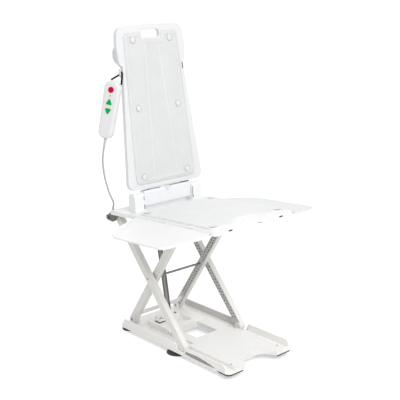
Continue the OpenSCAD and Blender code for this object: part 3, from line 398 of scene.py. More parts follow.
def moulded(outline, profile):
    """A solid whose rim is a profile of inset and height, carried round an outline, with flat ends."""
    inset, height = np.array(profile, float).T
    flat = outline[None] + inset[:, None, None] * inward(outline)[None]
    rows, cols = flat.shape[:2]
    points = np.concatenate([flat, np.broadcast_to(height[:, None, None], (rows, cols, 1))], axis=-1)
    return points.reshape(-1, 3), capped_faces(rows, cols)


def rim(low, high, radius, steps=6):
    """A profile up a wall from low to high, rounded at both edges by a radius."""
    t = np.linspace(0, np.pi / 2, steps)
    foot = np.stack([radius * (1 - np.sin(t)), low + radius * (1 - np.cos(t))], axis=1)
    head = np.stack([radius * (1 - np.cos(t)), high - radius * (1 - np.sin(t))], axis=1)
    return np.vstack([[2 * radius, low], foot, head, [2 * radius, high]])


def joined(parts):
    """Several solids, each given as its points and faces, as one set of points and faces."""
    first = np.cumsum([0] + [len(points) for points, _ in parts]).tolist()
    faces = [[first[k] + i for i in face] for k, (_, part) in enumerate(parts) for face in part]
    return np.vstack([points for points, _ in parts]), faces


def tablets(name, place, boxes, edge, body):
    """Small plates with rounded edges, each within a least and a greatest corner, as one piece."""
    round_share = 0.45
    plates = []
    for (x0, y0, z0), (x1, y1, z1) in boxes:
        corners = np.array([(x0, y0, edge), (x1, y0, edge), (x1, y1, edge), (x0, y1, edge)])
        wall = rim(z0, z1, round_share * min(edge, z1 - z0), steps=4)
        plates.append(moulded(rounded_corners(corners, steps=5), wall))
    points, faces = joined(plates)
    return new_piece(name, place(*points.T), faces, body)


def base_place(x, y, z):
    """Base points from three arrays in millimetres."""
    return base_points(np.stack([x, y, z], axis=-1))


# Painted shade: each strip is a grey plate along the side of the base, where its lower edge lies in shadow.
shade_strip, shade_strip_faces = moulded(rounded_corners(shade_strip_corners, steps=5), rim(shade_strip_in, shade_strip_out, shade_strip_round))
shade_strip_y, shade_strip_z, shade_strip_x = shade_strip.T
shade_strip_grey = plastic("shade_strip_grey", (0.36, 0.345, 0.315), grain=600, drift=0.35, rough=0.5)
for side, hand in hands:
    shade_strip_piece = new_piece(f"grip_{hand}", base_place(side * shade_strip_x, shade_strip_y, shade_strip_z), shade_strip_faces, "base")
    dress(shade_strip_grey, shade_strip_piece)
clamp_block = tablets("block_of_clamp", base_place, [block_box], block_edge, "base")
# The dark sheet under the block is painted shade; the other dark plates stand for a screw, a seam and the
# collar.
clamp_shade_and_marks = tablets(
    "shade_and_marks_of_clamp", base_place, [under_block_shade_box, screw_box, seam_box, collar_box], dark_mark_edge, "base")
dress(tray_white_lit, clamp_block)
dress(plastic("clamp_dark", (0.06, 0.06, 0.045), rough=0.55), clamp_shade_and_marks)

# Suction cups and pads: soft black-blue rubber, pressed on studs under the tray, with a wide flared
# lip on the middle pair, and flat pads of black rubber glued under the corners of the front lip.
cup_x, cup_y, cup_sides = 126, -290.3, 72
cup_section = np.array([
    (29, 0.6), (36.6, 0.3), (38, 1.4), (37.4, 3), (33.5, 7), (28, 11), (21, 14.4), (16, 14.6), (16, 11),
    (24, 6)])
pad_in, pad_out, pad_front, pad_rear = 82, 153, -574.6, -526.5
pad_under, pad_over, pad_round = 16.0, 22.2, 0.9
pad_corner, pad_front_corner = 3, 15
cup_rubber = plastic("cup_rubber", (0.012, 0.019, 0.027), rough=0.34, rub=0.2, edge=0.002)
dress(cup_rubber, "suction_cups")
# The lip's section of radius and height is turned about the cup's upright axis.
cup_turn = np.linspace(0, 2 * np.pi, cup_sides, endpoint=False)[:, None]
cup_r, cup_z = cup_section.T
cup_faces = grid_faces(cup_sides, len(cup_section), True, True)
for side, hand in hands:
    lip_x = side * cup_x + cup_r * np.cos(cup_turn)
    lip_y = cup_y + cup_r * np.sin(cup_turn)
    lip = base_place(lip_x, lip_y, np.broadcast_to(cup_z, lip_x.shape)).reshape(-1, 3)
    cup_lip = new_piece(f"cup_lip_{hand}", lip, cup_faces, "base")
    dress(cup_rubber, cup_lip)
pad_plan = rounded_corners(np.array([
    (pad_in, pad_front, pad_corner), (pad_out, pad_front, pad_front_corner), (pad_out, pad_rear, pad_corner),
    (pad_in, pad_rear, pad_corner)]), steps=8)
pad, pad_faces = moulded(pad_plan, rim(pad_under, pad_over, pad_round))
pads, pads_faces = joined([(pad * [side, 1, 1], pad_faces) for side, _ in hands])
front_pads = new_piece("pads_of_front", base_points(pads), pads_faces, "base")
dress(plastic("pad_rubber", (0.016, 0.016, 0.018), grain=500, rough=0.7), front_pads)
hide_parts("front_pads")
dress(plastic("stud_white", (0.7, 0.7, 0.7)), "cup_studs")

# Steel: turned pins, axle and screws, ground bright and a little dull from use under water. The marks
# of the lathe run round them, so the pattern is fine along the width of the lift and coarse across it.
lathe_marks = (900, 40, 40)
steel_dark, steel_pale = (0.20, 0.19, 0.18, 1), (0.30, 0.29, 0.28, 1)
steel = bpy.data.materials.new("turned_steel")
steel.use_nodes = True
steel_tree = steel.node_tree
steel_bsdf = steel_tree.nodes["Principled BSDF"]
steel_place = put(steel_tree, "ShaderNodeTexCoord").outputs["Object"]
steel_drawn = put(steel_tree, "ShaderNodeMapping", [("Vector", steel_place), ("Scale", lathe_marks)])
steel_lathe = put(steel_tree, "ShaderNodeTexNoise", [
    ("Vector", steel_drawn.outputs[0]), ("Scale", 1.0), ("Detail", 3.0)]).outputs["Fac"]
steel_rough = put(steel_tree, "ShaderNodeMapRange", [
    ("Value", steel_lathe), ("To Min", 0.28), ("To Max", 0.46)])
steel_tree.links.new(mixed(steel_tree, steel_lathe, steel_dark, steel_pale), steel_bsdf.inputs["Base Color"])
steel_tree.links.new(steel_rough.outputs[0], steel_bsdf.inputs["Roughness"])
steel_bsdf.inputs["Metallic"].default_value = 1.0
dress(steel, "base_pivot_pins", "base_screws", "centre_axle", "upper_roller_pins", "top_pivot_pins",
      "back_hinge_pin", "flap_hinge_pins", "lead_screw", "drive_motor")

# Scissor arms: hollow beams with rows of drain holes on the inside, moulded in a darker white than the
# seat. The pairs cross at a steel axle, and the rear pair is tied by a round bar at its foot.
beam_half, beam_skin, beam_back = 0.0098, 0.0004, 0.0205
face_slack, face_shade_loss, hole_shade_loss = 0.0002, 0.3, 0.97
# Each pair of arms: name, foot in millimetres, slope in degrees, first and last hole in metres.
arm_places = [
    ("rear_arm", (0, -28.8, 40), 123.0, 0.062, 0.495),
    ("front_arm", (0, -339.06, 40), 48.45, 0.03, 0.51)]
beam, beam_in, beam_out = surface_group(
    "beam_painted_shade",
    [("Foot", "NodeSocketVector", (0, 0, 0)), ("Along", "NodeSocketVector", (0, 0, 1)),
     ("From", "NodeSocketFloat", 0.05), ("To", "NodeSocketFloat", 0.5),
     ("Inner face", "NodeSocketFloat", 0.1)],
    [("Tone", "NodeSocketFloat")])


def beam_vector(kind, first, second):
    """One step on two vectors in the beam's group; gives the node's outputs."""
    return put(beam, "ShaderNodeVectorMath", [(0, first), (1, second)], operation=kind).outputs


# Painted shade: inside the beam and in the walls of its holes the tone is made nearly black, and the inner
# face, which lies in shade under the seat, is greyer.
beam_place = put(beam, "ShaderNodeTexCoord").outputs["Object"]
beam_from = beam_vector("SUBTRACT", beam_place, beam_in.outputs["Foot"])[0]
beam_side = beam_vector("CROSS_PRODUCT", beam_in.outputs["Along"], (1, 0, 0))[0]
beam_run = beam_vector("DOT_PRODUCT", beam_from, beam_in.outputs["Along"])["Value"]
beam_off = maths(beam, "ABSOLUTE", beam_vector("DOT_PRODUCT", beam_from, beam_side)["Value"])
beam_x = maths(beam, "ABSOLUTE", put(beam, "ShaderNodeSeparateXYZ", [(0, beam_place)]).outputs["X"])
beam_depth = maths(beam, "SUBTRACT", beam_x, beam_in.outputs["Inner face"])
beam_hole_shade = maths(beam, "GREATER_THAN", beam_run, beam_in.outputs["From"])
beam_hole_shade = maths(beam, "MULTIPLY", beam_hole_shade, maths(beam, "LESS_THAN", beam_run, beam_in.outputs["To"]))
beam_hole_shade = maths(beam, "MULTIPLY", beam_hole_shade, maths(beam, "LESS_THAN", beam_off, beam_half))
beam_hole_shade = maths(beam, "MULTIPLY", beam_hole_shade, maths(beam, "GREATER_THAN", beam_depth, beam_skin))
beam_hole_shade = maths(beam, "MULTIPLY", beam_hole_shade, maths(beam, "LESS_THAN", beam_depth, beam_back))
beam_face = maths(beam, "LESS_THAN", beam_depth, face_slack)
beam_tone = maths(beam, "MULTIPLY_ADD", beam_face, -face_shade_loss, 1.0)
beam_tone = maths(beam, "MULTIPLY", beam_tone, maths(beam, "MULTIPLY_ADD", beam_hole_shade, -hole_shade_loss, 1.0))
beam.links.new(beam_tone, beam_out.inputs["Tone"])
for arm_name, foot, slope, low, high in arm_places:
    arm_white = plastic(arm_name + "_white", (0.83, 0.82, 0.785), grain=650, drift=0.08, rough=0.46)
    arm_along = (0, np.cos(np.radians(slope)), np.sin(np.radians(slope)))
    arm_painted_shade = put(arm_white.node_tree, "ShaderNodeGroup", [
        ("Foot", base_points([foot])[0]), ("Along", arm_along), ("From", low), ("To", high),
        ("Inner face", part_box(arm_name + "_left")[0].x)], node_tree=beam)
    shaded(arm_white, arm_painted_shade.outputs["Tone"])
    dress(arm_white, arm_name + "_left", arm_name + "_right")
dress(base_white, "rear_arm_crossbar")
roller_nylon = plastic("roller_nylon", (0.78, 0.77, 0.74), rough=0.35)
dress(roller_nylon, "upper_rollers", "lower_rollers", "screw_bearing")

# Drive: a tube with the motor inside, a gearbox and a carriage on the lead screw, in cast metal
# with a warm grey paint. The brackets that carry the seat are cast and painted with it.
drive_paint = plastic("drive_paint", (0.145, 0.137, 0.12), grain=500, drift=0.15, rough=0.4, rub=0.15)
dress(drive_paint, "drive_tube", "screw_gearbox", "drive_nut", "pivot_bracket_left", "pivot_bracket_right")

# Seat shell: a shallow tray of smooth white plastic with a rolled front lip, a skirt all round and a
# cut for the knees. The roller tracks and the hinge cheeks are moulded with it.
seat_tilt = np.radians(4.41901)
seat_origin = np.array([0, 0.019057 + base_rear, 0.444071])


def seat_points(x, v, w):
    """Points of the seat's own frame in millimetres: x across, v to the rear, w off the track line."""
    x, v, w = np.broadcast_arrays(x, v, w)
    y = v * np.cos(seat_tilt) + w * np.sin(seat_tilt)
    z = w * np.cos(seat_tilt) - v * np.sin(seat_tilt)
    return np.stack([x, y, z], axis=-1) / 1000 + seat_origin


seat_white = plastic("seat_white", (0.87, 0.875, 0.88), rough=0.36)
dress(seat_white, "seat_shell", "seat_track_left", "seat_track_right", "hinge_cheek_left",
      "hinge_cheek_right")

# Side flaps: flat moulded wings on the seat's sides, with a rounded rim, which lie on the bath's
# edges and fold up as the seat sinks between them. Each turns on two knuckles round a steel pin.
# In millimetres of the flap's own frame: u out from the hinge, v to the rear and h off its plane.
flap_axis_x, flap_axis_w = 189.3, 12.0
flap_droop = np.radians(6)
flap_tip_x = 355
flap_out = (flap_tip_x - flap_axis_x) / np.cos(flap_droop)
flap_from, flap_to = 167, 559
flap_edge = 7
flap_under, flap_over, flap_round = -6, 1, 2.6
knuckle_r, knuckle_l, knuckle_sides = 5, 60, 32
knuckle_starts = (-320, -460)
web_in, web_out, web_under = 0.5, 9, -4.8
# The outline's corners are shares of the flap's reach and length, and its radii shares of the reach.
flap_shares = np.array([
    (flap_edge / flap_out, 0, 0.024), (0.53, 0.046, 0.36), (0.9, 0.161, 0.24), (1, 0.242, 0.15),
    (1, 0.864, 0.2), (flap_edge / flap_out, 1, 0.036)])
flap_corners = flap_shares * [flap_out, flap_from - flap_to, flap_out] - [0, flap_from, 0]
flap_parts = [moulded(rounded_corners(flap_corners), rim(flap_under, flap_over, flap_round))]
knuckle_turn = np.linspace(0, 2 * np.pi, knuckle_sides, endpoint=False)
for start in knuckle_starts:
    ends = (start, start + knuckle_l)
    knuckle_u = knuckle_r * np.cos(knuckle_turn)
    knuckle_h = knuckle_r * np.sin(knuckle_turn)
    knuckle = np.broadcast_arrays(knuckle_u, np.array(ends, float)[:, None], knuckle_h)
    flap_parts.append((np.stack(knuckle, axis=-1).reshape(-1, 3), capped_faces(2, knuckle_sides)))
    web_plan = [(web_in, ends[0]), (web_out, ends[0]), (web_out, ends[1]), (web_in, ends[1])]
    web = np.array([(*corner, h) for h in (web_under, flap_over) for corner in web_plan], float)
    flap_parts.append((web, capped_faces(2, len(web_plan))))
# A bead along the inner edge rises towards the seat's rim. Its section of u and h is carried along the
# edge, and what stands above its foot sinks at both ends by the sine of the way left to go.
bead_section = np.array([
    (6.6, -4), (6.6, 3.6), (7.0, 4.5), (7.8, 4.9), (9.4, 4.7), (12, 3.9), (16, 2.7), (21, 1.7), (28, 0.8),
    (28, -4)])
bead_rear, bead_front, bead_steps = -flap_from - 3, 8 - flap_to, 60
bead_foot, bead_slope = 0.8, 14
bead_v = np.linspace(bead_rear, bead_front, bead_steps)[:, None]
bead_end = np.clip(np.minimum(bead_rear - bead_v, bead_v - bead_front) / bead_slope, 0, 1)
bead_u, bead_h = bead_section.T
bead_over = np.clip(bead_h - bead_foot, 0, None) * np.sin(bead_end * np.pi / 2)
bead_height = np.minimum(bead_h, bead_foot) + bead_over
bead = np.stack(np.broadcast_arrays(bead_u, bead_v, bead_height), axis=-1)
flap_parts.append((bead.reshape(-1, 3), capped_faces(bead_steps, len(bead_section))))
flap, flap_faces = joined(flap_parts)
flap_u, flap_v, flap_h = flap.T
flap_x = flap_axis_x + flap_u * np.cos(flap_droop) + flap_h * np.sin(flap_droop)
flap_w = flap_axis_w + flap_h * np.cos(flap_droop) - flap_u * np.sin(flap_droop)
# The left flap, the far one, gets a darker and cooler copy of the flap white: painted shade.
flap_whites = {
    "left": plastic("flap_white_painted_shade", (0.77, 0.785, 0.80), rough=0.36),
    "right": plastic("flap_white", (0.90, 0.90, 0.895), rough=0.36)}
for side, hand in hands:
    wing_points = seat_points(side * flap_x, flap_v, flap_w)
    wing = new_piece(f"wing_{hand}", wing_points, flap_faces, f"{hand}_flap", sharp=35)
    dress(flap_whites[hand], wing)
    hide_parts(f"flap_{hand}")

# Vent shade: black plates set into the two vents of the front skirt, a little behind its face: painted
# shade for the dark inside of the vents.
vent_x, vent_half = 117, 8.4
vent_front, vent_rear, vent_low, vent_high, vent_edge = -562.8, -560.2, 11.1, 15.9, 0.8
vent_shade_plates = tablets("vent_shade_plates", seat_points, [
    ((side * vent_x - vent_half, vent_front, vent_low), (side * vent_x + vent_half, vent_rear, vent_high))
    for side, _ in hands], vent_edge, "seat")
dress(plastic("vent_shade_black", (0.02, 0.02, 0.02), rough=0.6), vent_shade_plates)

# Seat cover: a thin mat of closed-cell foam with a fine pebbled skin, laid on the shell and held
# by four press buttons. Its rim is rolled, and its front follows the cut for the knees.
seat_hw, seat_front, seat_cut, seat_cut_w = 184, 564, 42, 140
cover_hw, cover_rear, cover_margin, cover_corner = seat_hw - 14, -166, 26, 18
cover_low, cover_rise, cover_edge, cover_roll = 19.0, 8.0, 2.5, 7
cover_draw = 3
groove_in, groove_w, groove_depth = 11, 2.0, 0.7
seat_buttons = [(-150, -186), (150, -186), (-150, -518), (150, -518)]
dimple_w, dimple_depth = 11.0, 1.6
cover_cols, cover_rows = 121, 141
cut_r = ((seat_cut_w / 2) ** 2 + seat_cut**2) / (2 * seat_cut) + cover_margin
cut_v = -seat_front + seat_cut - (cut_r - cover_margin)


def corner_pull(distance, radius):
    """How far a side steps in near a round corner, at a distance from the end."""
    d = np.clip(distance, 0, radius)
    return radius - np.sqrt(radius**2 - (radius - d) ** 2)


def rolled(distance, width):
    """The height of a rolled rim, from 0 at the edge to 1, as a quarter circle of a width."""
    return np.sqrt(1 - (1 - np.clip(distance / width, 0, 1)) ** 2)


def hump(distance, width):
    """A bell that is 1 where a distance is 0 and falls off over a width."""
    return np.exp(-((distance / width) ** 2))


def crowded(count, share):
    """Even steps from -1 to 1, drawn towards both ends by a share of a sine."""
    even = np.linspace(-1, 1, count)
    return share * np.sin(even * np.pi / 2) + (1 - share) * even


def closed_pad(name, top, under, body):
    """A closed pad from a grid of points on its face and one on its underside, joined round the rim."""
    rows, cols = top.shape[:2]
    n = rows * cols
    face_quads = grid_faces(rows, cols, False)
    under_quads = [[n + i for i in quad[::-1]] for quad in face_quads]
    edge = np.concatenate([np.arange(cols), np.arange(1, rows) * cols + cols - 1,
                           n - 1 - np.arange(1, cols), np.arange(rows - 2, 0, -1) * cols])
    ahead = np.roll(edge, -1)
    rim_quads = np.stack([edge, n + edge, n + ahead, ahead], axis=1).tolist()
    points = np.concatenate([top.reshape(-1, 3), under.reshape(-1, 3)])
    return new_piece(name, points, face_quads + under_quads + rim_quads, body, sharp=60)


# A share u across and a share r from the rear to the front give each point of the mat.
share_u, share_r = np.meshgrid(crowded(cover_cols, share=0.5), (1 + crowded(cover_rows, share=1)) / 2)
flat_x = share_u * cover_hw
cut_reach = np.sqrt(np.clip(cut_r**2 - flat_x**2, 0, None))
flat_nose = -seat_front + cover_margin
cover_nose = np.maximum(flat_nose, np.where(np.abs(flat_x) < cut_r, cut_v + cut_reach, flat_nose))
cover_len = cover_rear - cover_nose
end_gap = np.minimum(share_r, 1 - share_r) * cover_len
half_w = cover_hw - corner_pull(end_gap, cover_corner) - cover_draw * np.sin(np.pi * share_r)
cover_x = share_u * half_w
cover_v = cover_rear - share_r * cover_len
rim_gap = np.minimum(end_gap, (1 - np.abs(share_u)) * half_w)
lift = cover_edge + (cover_rise - cover_edge) * rolled(rim_gap, cover_roll)
lift -= groove_depth * hump(rim_gap - groove_in, groove_w)
for button_x, button_v in seat_buttons:
    button_gap = np.hypot(cover_x - button_x, cover_v - button_v)
    lift -= dimple_depth * hump(button_gap, np.sqrt(2) * dimple_w)
seat_cover = closed_pad("cover_of_seat", seat_points(cover_x, cover_v, cover_low + lift),
                        seat_points(cover_x, cover_v, cover_low), "seat")

# The skin of the foam: cells show as a fine pebble, with a wider, softer unevenness under it.
foam, foam_in, foam_out = surface_group(
    "foam_skin", [("Tint", "NodeSocketColor", (0.75, 0.75, 0.75, 1))],
    [("Colour", "NodeSocketColor"), ("Roughness", "NodeSocketFloat"), ("Height", "NodeSocketFloat")])
foam_place = put(foam, "ShaderNodeTexCoord").outputs["Object"]
foam_cells = put(foam, "ShaderNodeTexVoronoi", [
    ("Vector", foam_place), ("Scale", 520.0)]).outputs["Distance"]
foam_soft = put(foam, "ShaderNodeTexNoise", [
    ("Vector", foam_place), ("Scale", 16.0), ("Detail", 5.0)]).outputs["Fac"]
foam_tone = put(foam, "ShaderNodeMapRange", [
    ("Value", foam_soft), ("From Min", 0.3), ("From Max", 0.7), ("To Min", 0.95), ("To Max", 1.0)])
foam_pits = put(foam, "ShaderNodeMapRange", [("Value", foam_cells), ("To Min", 0.965), ("To Max", 1.02)])
foam_shade = maths(foam, "MULTIPLY", foam_tone.outputs[0], foam_pits.outputs[0])
foam_rough = put(foam, "ShaderNodeMapRange", [("Value", foam_soft), ("To Min", 0.62), ("To Max", 0.8)])
foam_swell = 0.8
foam.links.new(scaled(foam, foam_in.outputs["Tint"], foam_shade), foam_out.inputs["Colour"])
foam.links.new(foam_rough.outputs[0], foam_out.inputs["Roughness"])
foam.links.new(maths(foam, "MULTIPLY_ADD", foam_soft, foam_swell, foam_cells), foam_out.inputs["Height"])


def foam_material(name, tint):
    """A mat of foam: the foam group feeds one shader with a little sheen."""
    cell_depth, cell_bump, sheen = 0.0006, 0.25, 0.15
    material = bpy.data.materials.new(name)
    material.use_nodes = True
    tree = material.node_tree
    bsdf = tree.nodes["Principled BSDF"]
    look = put(tree, "ShaderNodeGroup", node_tree=foam)
    look.inputs["Tint"].default_value = (*tint, 1)
    relief = put(tree, "ShaderNodeBump", [
        ("Height", look.outputs["Height"]), ("Strength", cell_bump), ("Distance", cell_depth)])
    tree.links.new(look.outputs["Colour"], bsdf.inputs["Base Color"])
    tree.links.new(look.outputs["Roughness"], bsdf.inputs["Roughness"])
    tree.links.new(relief.outputs["Normal"], bsdf.inputs["Normal"])
    bsdf.inputs["Sheen Weight"].default_value = sheen
    return material


dress(foam_material("seat_foam", (0.81, 0.815, 0.82)), seat_cover)
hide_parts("seat_cover")
button_white = plastic("button_white", (0.74, 0.74, 0.74), rough=0.36, edge=0.002)
dress(button_white, "seat_cover_buttons", "back_cover_buttons")

# Back panel: a waisted moulded shell with a wider head and a hand slot, on a bracket that turns
# between the hinge cheeks and has a latch tab in front. It has a cool, bluish white.
back_lean = np.radians(9.1)
back_foot = np.array([0, -0.099 + base_rear, 0.520])


def back_points(x, p, s):
    """Points of the back's own frame in millimetres: x across, p behind its face, s up along it."""
    x, p, s = np.broadcast_arrays(x, p, s)
    y = p * np.cos(back_lean) + s * np.sin(back_lean)
    z = s * np.cos(back_lean) - p * np.sin(back_lean)
    return np.stack([x, y, z], axis=-1) / 1000 + back_foot


back_white = plastic("back_white", (0.765, 0.775, 0.785), rough=0.38)
dress(back_white, "back_panel", "head_lugs", "strap_hook", "latch_tab")
# The bracket gets a paler copy of the back's white: painted light on its face, which lies in the panel's
# shade.
dress(plastic("bracket_white_painted_light", (0.84, 0.855, 0.88), rough=0.38), "back_bracket")

# Hinge gap shade: dark strips in the gap between bracket and panel, in slots at the ends of the hinge
# and in a notch at the panel's edge: painted shade for those gaps.
hinge_y, hinge_z = -87, 520
gap_shade_boxes = [
    ((-106, -6, 21.9), (-30, -2, 23.4)), ((12, -6, 21.9), (60, -2, 23.6)), ((62, -6, 21.9), (106, -2, 25.2))]
slot_boxes = [
    ((-115.6, -129.8, 57.5), (-113.2, -128.6, 72)), ((-115.2, -129.8, 26), (-112, -128.6, 42)),
    ((112, -129.8, 41), (114.4, -128.6, 69)), ((112.6, -129.8, 27), (116, -128.6, 40))]
notch_shade_box = ((131.5, -0.8, 432), (136, 0.4, 454))
gap_shade_edge, slot_edge, notch_shade_edge = 0.6, 0.4, 0.5


def hinge_points(x, y, z):
    """Points in millimetres from the middle of the back's hinge."""
    return base_place(x, y + hinge_y, z + hinge_z)


hinge_gap_shade = tablets("hinge_gap_shade", hinge_points, gap_shade_boxes, gap_shade_edge, "backrest")
cheek_slots = tablets("cheek_slots", seat_points, slot_boxes, slot_edge, "seat")
edge_notch_shade = tablets("edge_notch_shade", back_points, [notch_shade_box], notch_shade_edge, "backrest")
gap_shade_grey = plastic("gap_shade_grey", (0.09, 0.115, 0.13), rough=0.6)
for gap_plate in (hinge_gap_shade, cheek_slots, edge_notch_shade):
    dress(gap_shade_grey, gap_plate)

# Back cover: a moulded foam mat with two long ridges and a raised rim, cut out round the hand
# slot and held by six press buttons.
mat_low, mat_top, mat_notch = 45, 570, 544
mat_low_hw, mat_top_hw = 136, 120
mat_edge, mat_face, mat_roll = 2.5, 5.2, 7
slot_hw, notch_margin, notch_slope = 42, 6, 12
ridge_low, ridge_top, ridge_w, ridge_h = 0.4, 0.25, 2.8, 3.0
ridge_from, ridge_ramp = 6, 18
bead_in, bead_w, bead_rise = 12, 3.0, 1.9
back_buttons = [(83, 545), (90, 310), (100, 70)]
back_dimple_w, back_dimple_depth = 12.0, 1.2
mat_cols, mat_rows = 161, 221
ridge_highlight_gain = 0.07
# A share u across and a share r up the mat give each point. The top steps down to the notch round the
# slot along half a cosine, and the ridges draw together towards the top.
share_u, share_r = np.meshgrid(crowded(mat_cols, share=0.4), (1 + crowded(mat_rows, share=0.6)) / 2)
past_slot = np.clip((np.abs(share_u * mat_top_hw) - slot_hw - notch_margin) / notch_slope, 0, 1)
mat_head = mat_notch + (mat_top - mat_notch) * (1 - np.cos(np.pi * past_slot)) / 2
mat_s = mat_low + share_r * (mat_head - mat_low)
end_gap = np.minimum(share_r, 1 - share_r) * (mat_head - mat_low)
mat_hw = mat_low_hw + (mat_top_hw - mat_low_hw) * share_r - corner_pull(end_gap, cover_corner)
mat_x = share_u * mat_hw
rim_gap = np.minimum(end_gap, (1 - np.abs(share_u)) * mat_hw)
ridge_x = (ridge_low + (ridge_top - ridge_low) * share_r) * mat_hw
ridge = hump(np.abs(mat_x) - ridge_x, ridge_w) * np.clip((end_gap - ridge_from) / ridge_ramp, 0, 1)
rise = mat_edge + (mat_face - mat_edge) * rolled(rim_gap, mat_roll)
rise += ridge_h * ridge + bead_rise * hump(rim_gap - bead_in, bead_w)
for button_x, button_s in back_buttons:
    button_gap = np.hypot(np.abs(mat_x) - button_x, mat_s - button_s)
    rise -= back_dimple_depth * hump(button_gap, np.sqrt(2) * back_dimple_w)
back_cover = closed_pad(
    "cover_of_back", back_points(mat_x, -rise, mat_s), back_points(mat_x, 0.0, mat_s), "backrest")
back_foam = foam_material("back_foam", (0.695, 0.70, 0.70))
dress(back_foam, back_cover)
# Painted highlight: the tops of the ridges are made paler, by an amount kept with each point.
ridge_highlight_share = back_cover.data.attributes.new("ridge", "FLOAT", "POINT")
ridge_highlight_share.data.foreach_set("value", np.concatenate([ridge.ravel(), np.zeros(ridge.size)]))
back_tree = back_foam.node_tree
ridge_highlight_mask = put(back_tree, "ShaderNodeAttribute", attribute_name="ridge").outputs["Fac"]
shaded(back_foam, maths(back_tree, "MULTIPLY_ADD", ridge_highlight_mask, ridge_highlight_gain, 1.0))
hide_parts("back_cover")

# Handset: two smooth white shells, moulded and clipped at a seam, with a red stop key, a light and
# two green keys for up and down. It hangs from a peg on the back by a black loop.
handset_place = np.array([-0.198, -0.031 + base_rear, 0.832])
tip_x, tip_y, tip_z = np.radians([-4.4, 9.2, -65])
turn_x = np.array([[1, 0, 0], [0, np.cos(tip_x), -np.sin(tip_x)], [0, np.sin(tip_x), np.cos(tip_x)]])
turn_y = np.array([[np.cos(tip_y), 0, np.sin(tip_y)], [0, 1, 0], [-np.sin(tip_y), 0, np.cos(tip_y)]])
turn_z = np.array([[np.cos(tip_z), -np.sin(tip_z), 0], [np.sin(tip_z), np.cos(tip_z), 0], [0, 0, 1]])
handset_turn = turn_z @ turn_y @ turn_x
handset_w, handset_t, handset_h, handset_taper = 60, 28, 100, 4
foot_r, head_r, shell_r, shell_steps = 23, 27, 8.5, 14
seam_depth, seam_floor, seam_mouth = 0.6, 0.3, 0.6
handset_rim = rounded_corners(np.array([
    (handset_w / 2 - handset_taper, -handset_h, foot_r), (handset_w / 2, handset_h, head_r),
    (-handset_w / 2, handset_h, head_r), (handset_taper - handset_w / 2, -handset_h, foot_r)]), steps=24)
shell_wall = rim(-handset_t / 2, handset_t / 2, shell_r, shell_steps)
shell_seam = [(0, -seam_mouth), (seam_depth, -seam_floor), (seam_depth, seam_floor), (0, seam_mouth)]
shell_wall = np.vstack([shell_wall[:shell_steps + 1], shell_seam, shell_wall[shell_steps + 1:]])
shell, shell_faces = moulded(handset_rim, shell_wall)
shell_points = shell[:, [0, 2, 1]] / 1000 @ handset_turn.T + handset_place
handset = new_piece("shells_of_handset", shell_points, shell_faces, "backrest", sharp=50)
handset_white = plastic("handset_white", (0.77, 0.77, 0.77), grain=1600, drift=0.03, rough=0.33, bump=0.03)
dress(handset_white, handset)
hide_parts("handset_front_shell", "handset_rear_shell")
key_finish = {"grain": 2000, "drift": 0.1, "rough": 0.45, "edge": 0.001, "Specular_IOR_Level": 0.04}
dress(plastic("stop_red", (0.60, 0.003, 0.04), **key_finish), "stop_button")
dress(plastic("move_green", (0.0, 0.42, 0.09), **key_finish), "up_button", "down_button")
dress(plastic("lens_smoke", (0.10, 0.10, 0.10), rough=0.12), "light_lens")
dress(plastic("board_green", (0.03, 0.12, 0.05)), "handset_board")
dress(plastic("battery_wrap", (0.03, 0.035, 0.04)), "handset_battery")

# Strap: a short loop of flat black webbing, woven in nylon, from the handset's top over the peg on
# the panel's edge and back.
strap_t, strap_w = 0.0038, 0.0067
strap_steps, strap_sides, strap_easing = 110, 24, 30
peg_x, peg_p, peg_s, peg_turn_r = -140.83, 7, 436, 6.8
peg_from, peg_to, peg_points = -20, 208, 9
peg_turn = np.radians(np.linspace(peg_from, peg_to, peg_points))
strap_over = back_points(
    peg_x, peg_p + peg_turn_r * np.cos(peg_turn), peg_s + peg_turn_r * np.sin(peg_turn))
strap_start, strap_end = base_points([(-188.2, -31.2, 933.9), (-170.1, -62.2, 918.8)])
strap_share = np.array([0, 0.25, 0.5, 0.75])[:, None]
strap_route = np.vstack([
    strap_start + strap_share * (strap_over[0] - strap_start), strap_over,
    strap_end + strap_share[::-1] * (strap_over[-1] - strap_end)])
strap_path = eased(smooth_path(strap_route, strap_steps), strap_easing)
strap_along = unit(np.gradient(strap_path, axis=0))
strap_flat = unit(np.cross(strap_along, [1, 0, 0]))
strap_axes = (strap_along, strap_flat, np.cross(strap_along, strap_flat))
strap_turn = np.linspace(0, 2 * np.pi, strap_sides, endpoint=False)
# The section is a flat oval: 1 / r^2 = (cos / half the thickness)^2 + (sin / half the width)^2
strap_r = 1 / np.hypot(np.cos(strap_turn) / (strap_t / 2), np.sin(strap_turn) / (strap_w / 2))
strap = swept_tube("loop_of_handset", strap_path, strap_r, strap_sides, "backrest", strap_axes)
dress(plastic("strap_black", (0.003, 0.003, 0.004), grain=1800, rough=0.7, bump=0.4,
              Specular_IOR_Level=0.1), strap)
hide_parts("handset_strap")

# Studio: a wide pale floor, a soft sky and three large lamps. What the camera and reflections see
# beyond the object is white, and the floor keeps the object's shadow.
floor_half, floor_z = 30, -0.0005
floor_white, floor_glow = (0.8, 0.8, 0.8, 1), 0.46
floor_mesh = bpy.data.meshes.new("floor")
floor_mesh.from_pydata([
    (-floor_half, -floor_half, 0), (floor_half, -floor_half, 0), (floor_half, floor_half, 0),
    (-floor_half, floor_half, 0)], [], [(0, 1, 2, 3)])
floor = bpy.data.objects.new("floor", floor_mesh)
floor.location = (0, 0, floor_z)
scene.collection.objects.link(floor)


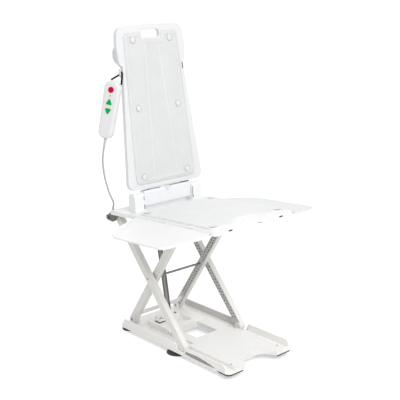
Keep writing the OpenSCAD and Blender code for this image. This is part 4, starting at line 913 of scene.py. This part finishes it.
def seen(tree):
    """1 for what the camera sees, directly, in a reflection or through glass, and 0 for other light."""
    path = put(tree, "ShaderNodeLightPath").outputs
    direct = maths(tree, "MAXIMUM", path["Is Camera Ray"], path["Is Glossy Ray"])
    return maths(tree, "MAXIMUM", direct, path["Is Transmission Ray"])


paper = bpy.data.materials.new("paper")
paper.use_nodes = True
paper_tree = paper.node_tree
paper_tree.nodes.clear()
paper_glow = put(paper_tree, "ShaderNodeEmission", [
    ("Strength", maths(paper_tree, "MULTIPLY", seen(paper_tree), floor_glow))])
paper_matt = put(paper_tree, "ShaderNodeBsdfDiffuse", [("Color", floor_white)])
paper_sum = put(paper_tree, "ShaderNodeAddShader", [(0, paper_glow.outputs[0]), (1, paper_matt.outputs[0])])
put(paper_tree, "ShaderNodeOutputMaterial", [("Surface", paper_sum.outputs[0])])
floor_mesh.materials.append(paper)

# The sky lights the object less from the sitter's right, and what is seen of it is plain white.
sky_right, sky_left = 0.56, 0.82
world = bpy.data.worlds.new("studio")
scene.world = world
world.use_nodes = True
sky = world.node_tree
sky.nodes.clear()
sky_across = put(sky, "ShaderNodeSeparateXYZ", [(0, put(sky, "ShaderNodeTexCoord").outputs["Generated"])])
sky_side = put(sky, "ShaderNodeMapRange", [
    ("Value", sky_across.outputs["X"]), ("From Min", -0.8), ("From Max", 0.3), ("To Min", sky_right),
    ("To Max", sky_left)])
sky_level = put(sky, "ShaderNodeMapRange", [
    ("Value", seen(sky)), ("To Min", sky_side.outputs[0]), ("To Max", 1.0)])
sky_light = put(sky, "ShaderNodeBackground", [("Color", (1, 1, 1, 1)), ("Strength", sky_level.outputs[0])])
put(sky, "ShaderNodeOutputWorld", [("Surface", sky_light.outputs[0])])

# Each lamp: name, place, aim, size in metres and power in watts.
lamps = [
    ("key_lamp", (-1.1, -2.9, 3.0), (0, 0, 0.5), 2.2, 84.0),
    ("fill_lamp", (-3.2, 0.4, 3.0), (0, 0, 0.5), 2.4, 8.0),
    ("rear_lamp", (1.8, 2.4, 2.6), (0, 0.1, 0.6), 2.0, 10.0)]
for lamp_name, lamp_at, lamp_aim, lamp_size, lamp_watts in lamps:
    lamp_data = bpy.data.lights.new(lamp_name, "AREA")
    lamp_data.size = lamp_size
    lamp_data.energy = lamp_watts
    place_aimed(bpy.data.objects.new(lamp_name, lamp_data), lamp_at, lamp_aim)
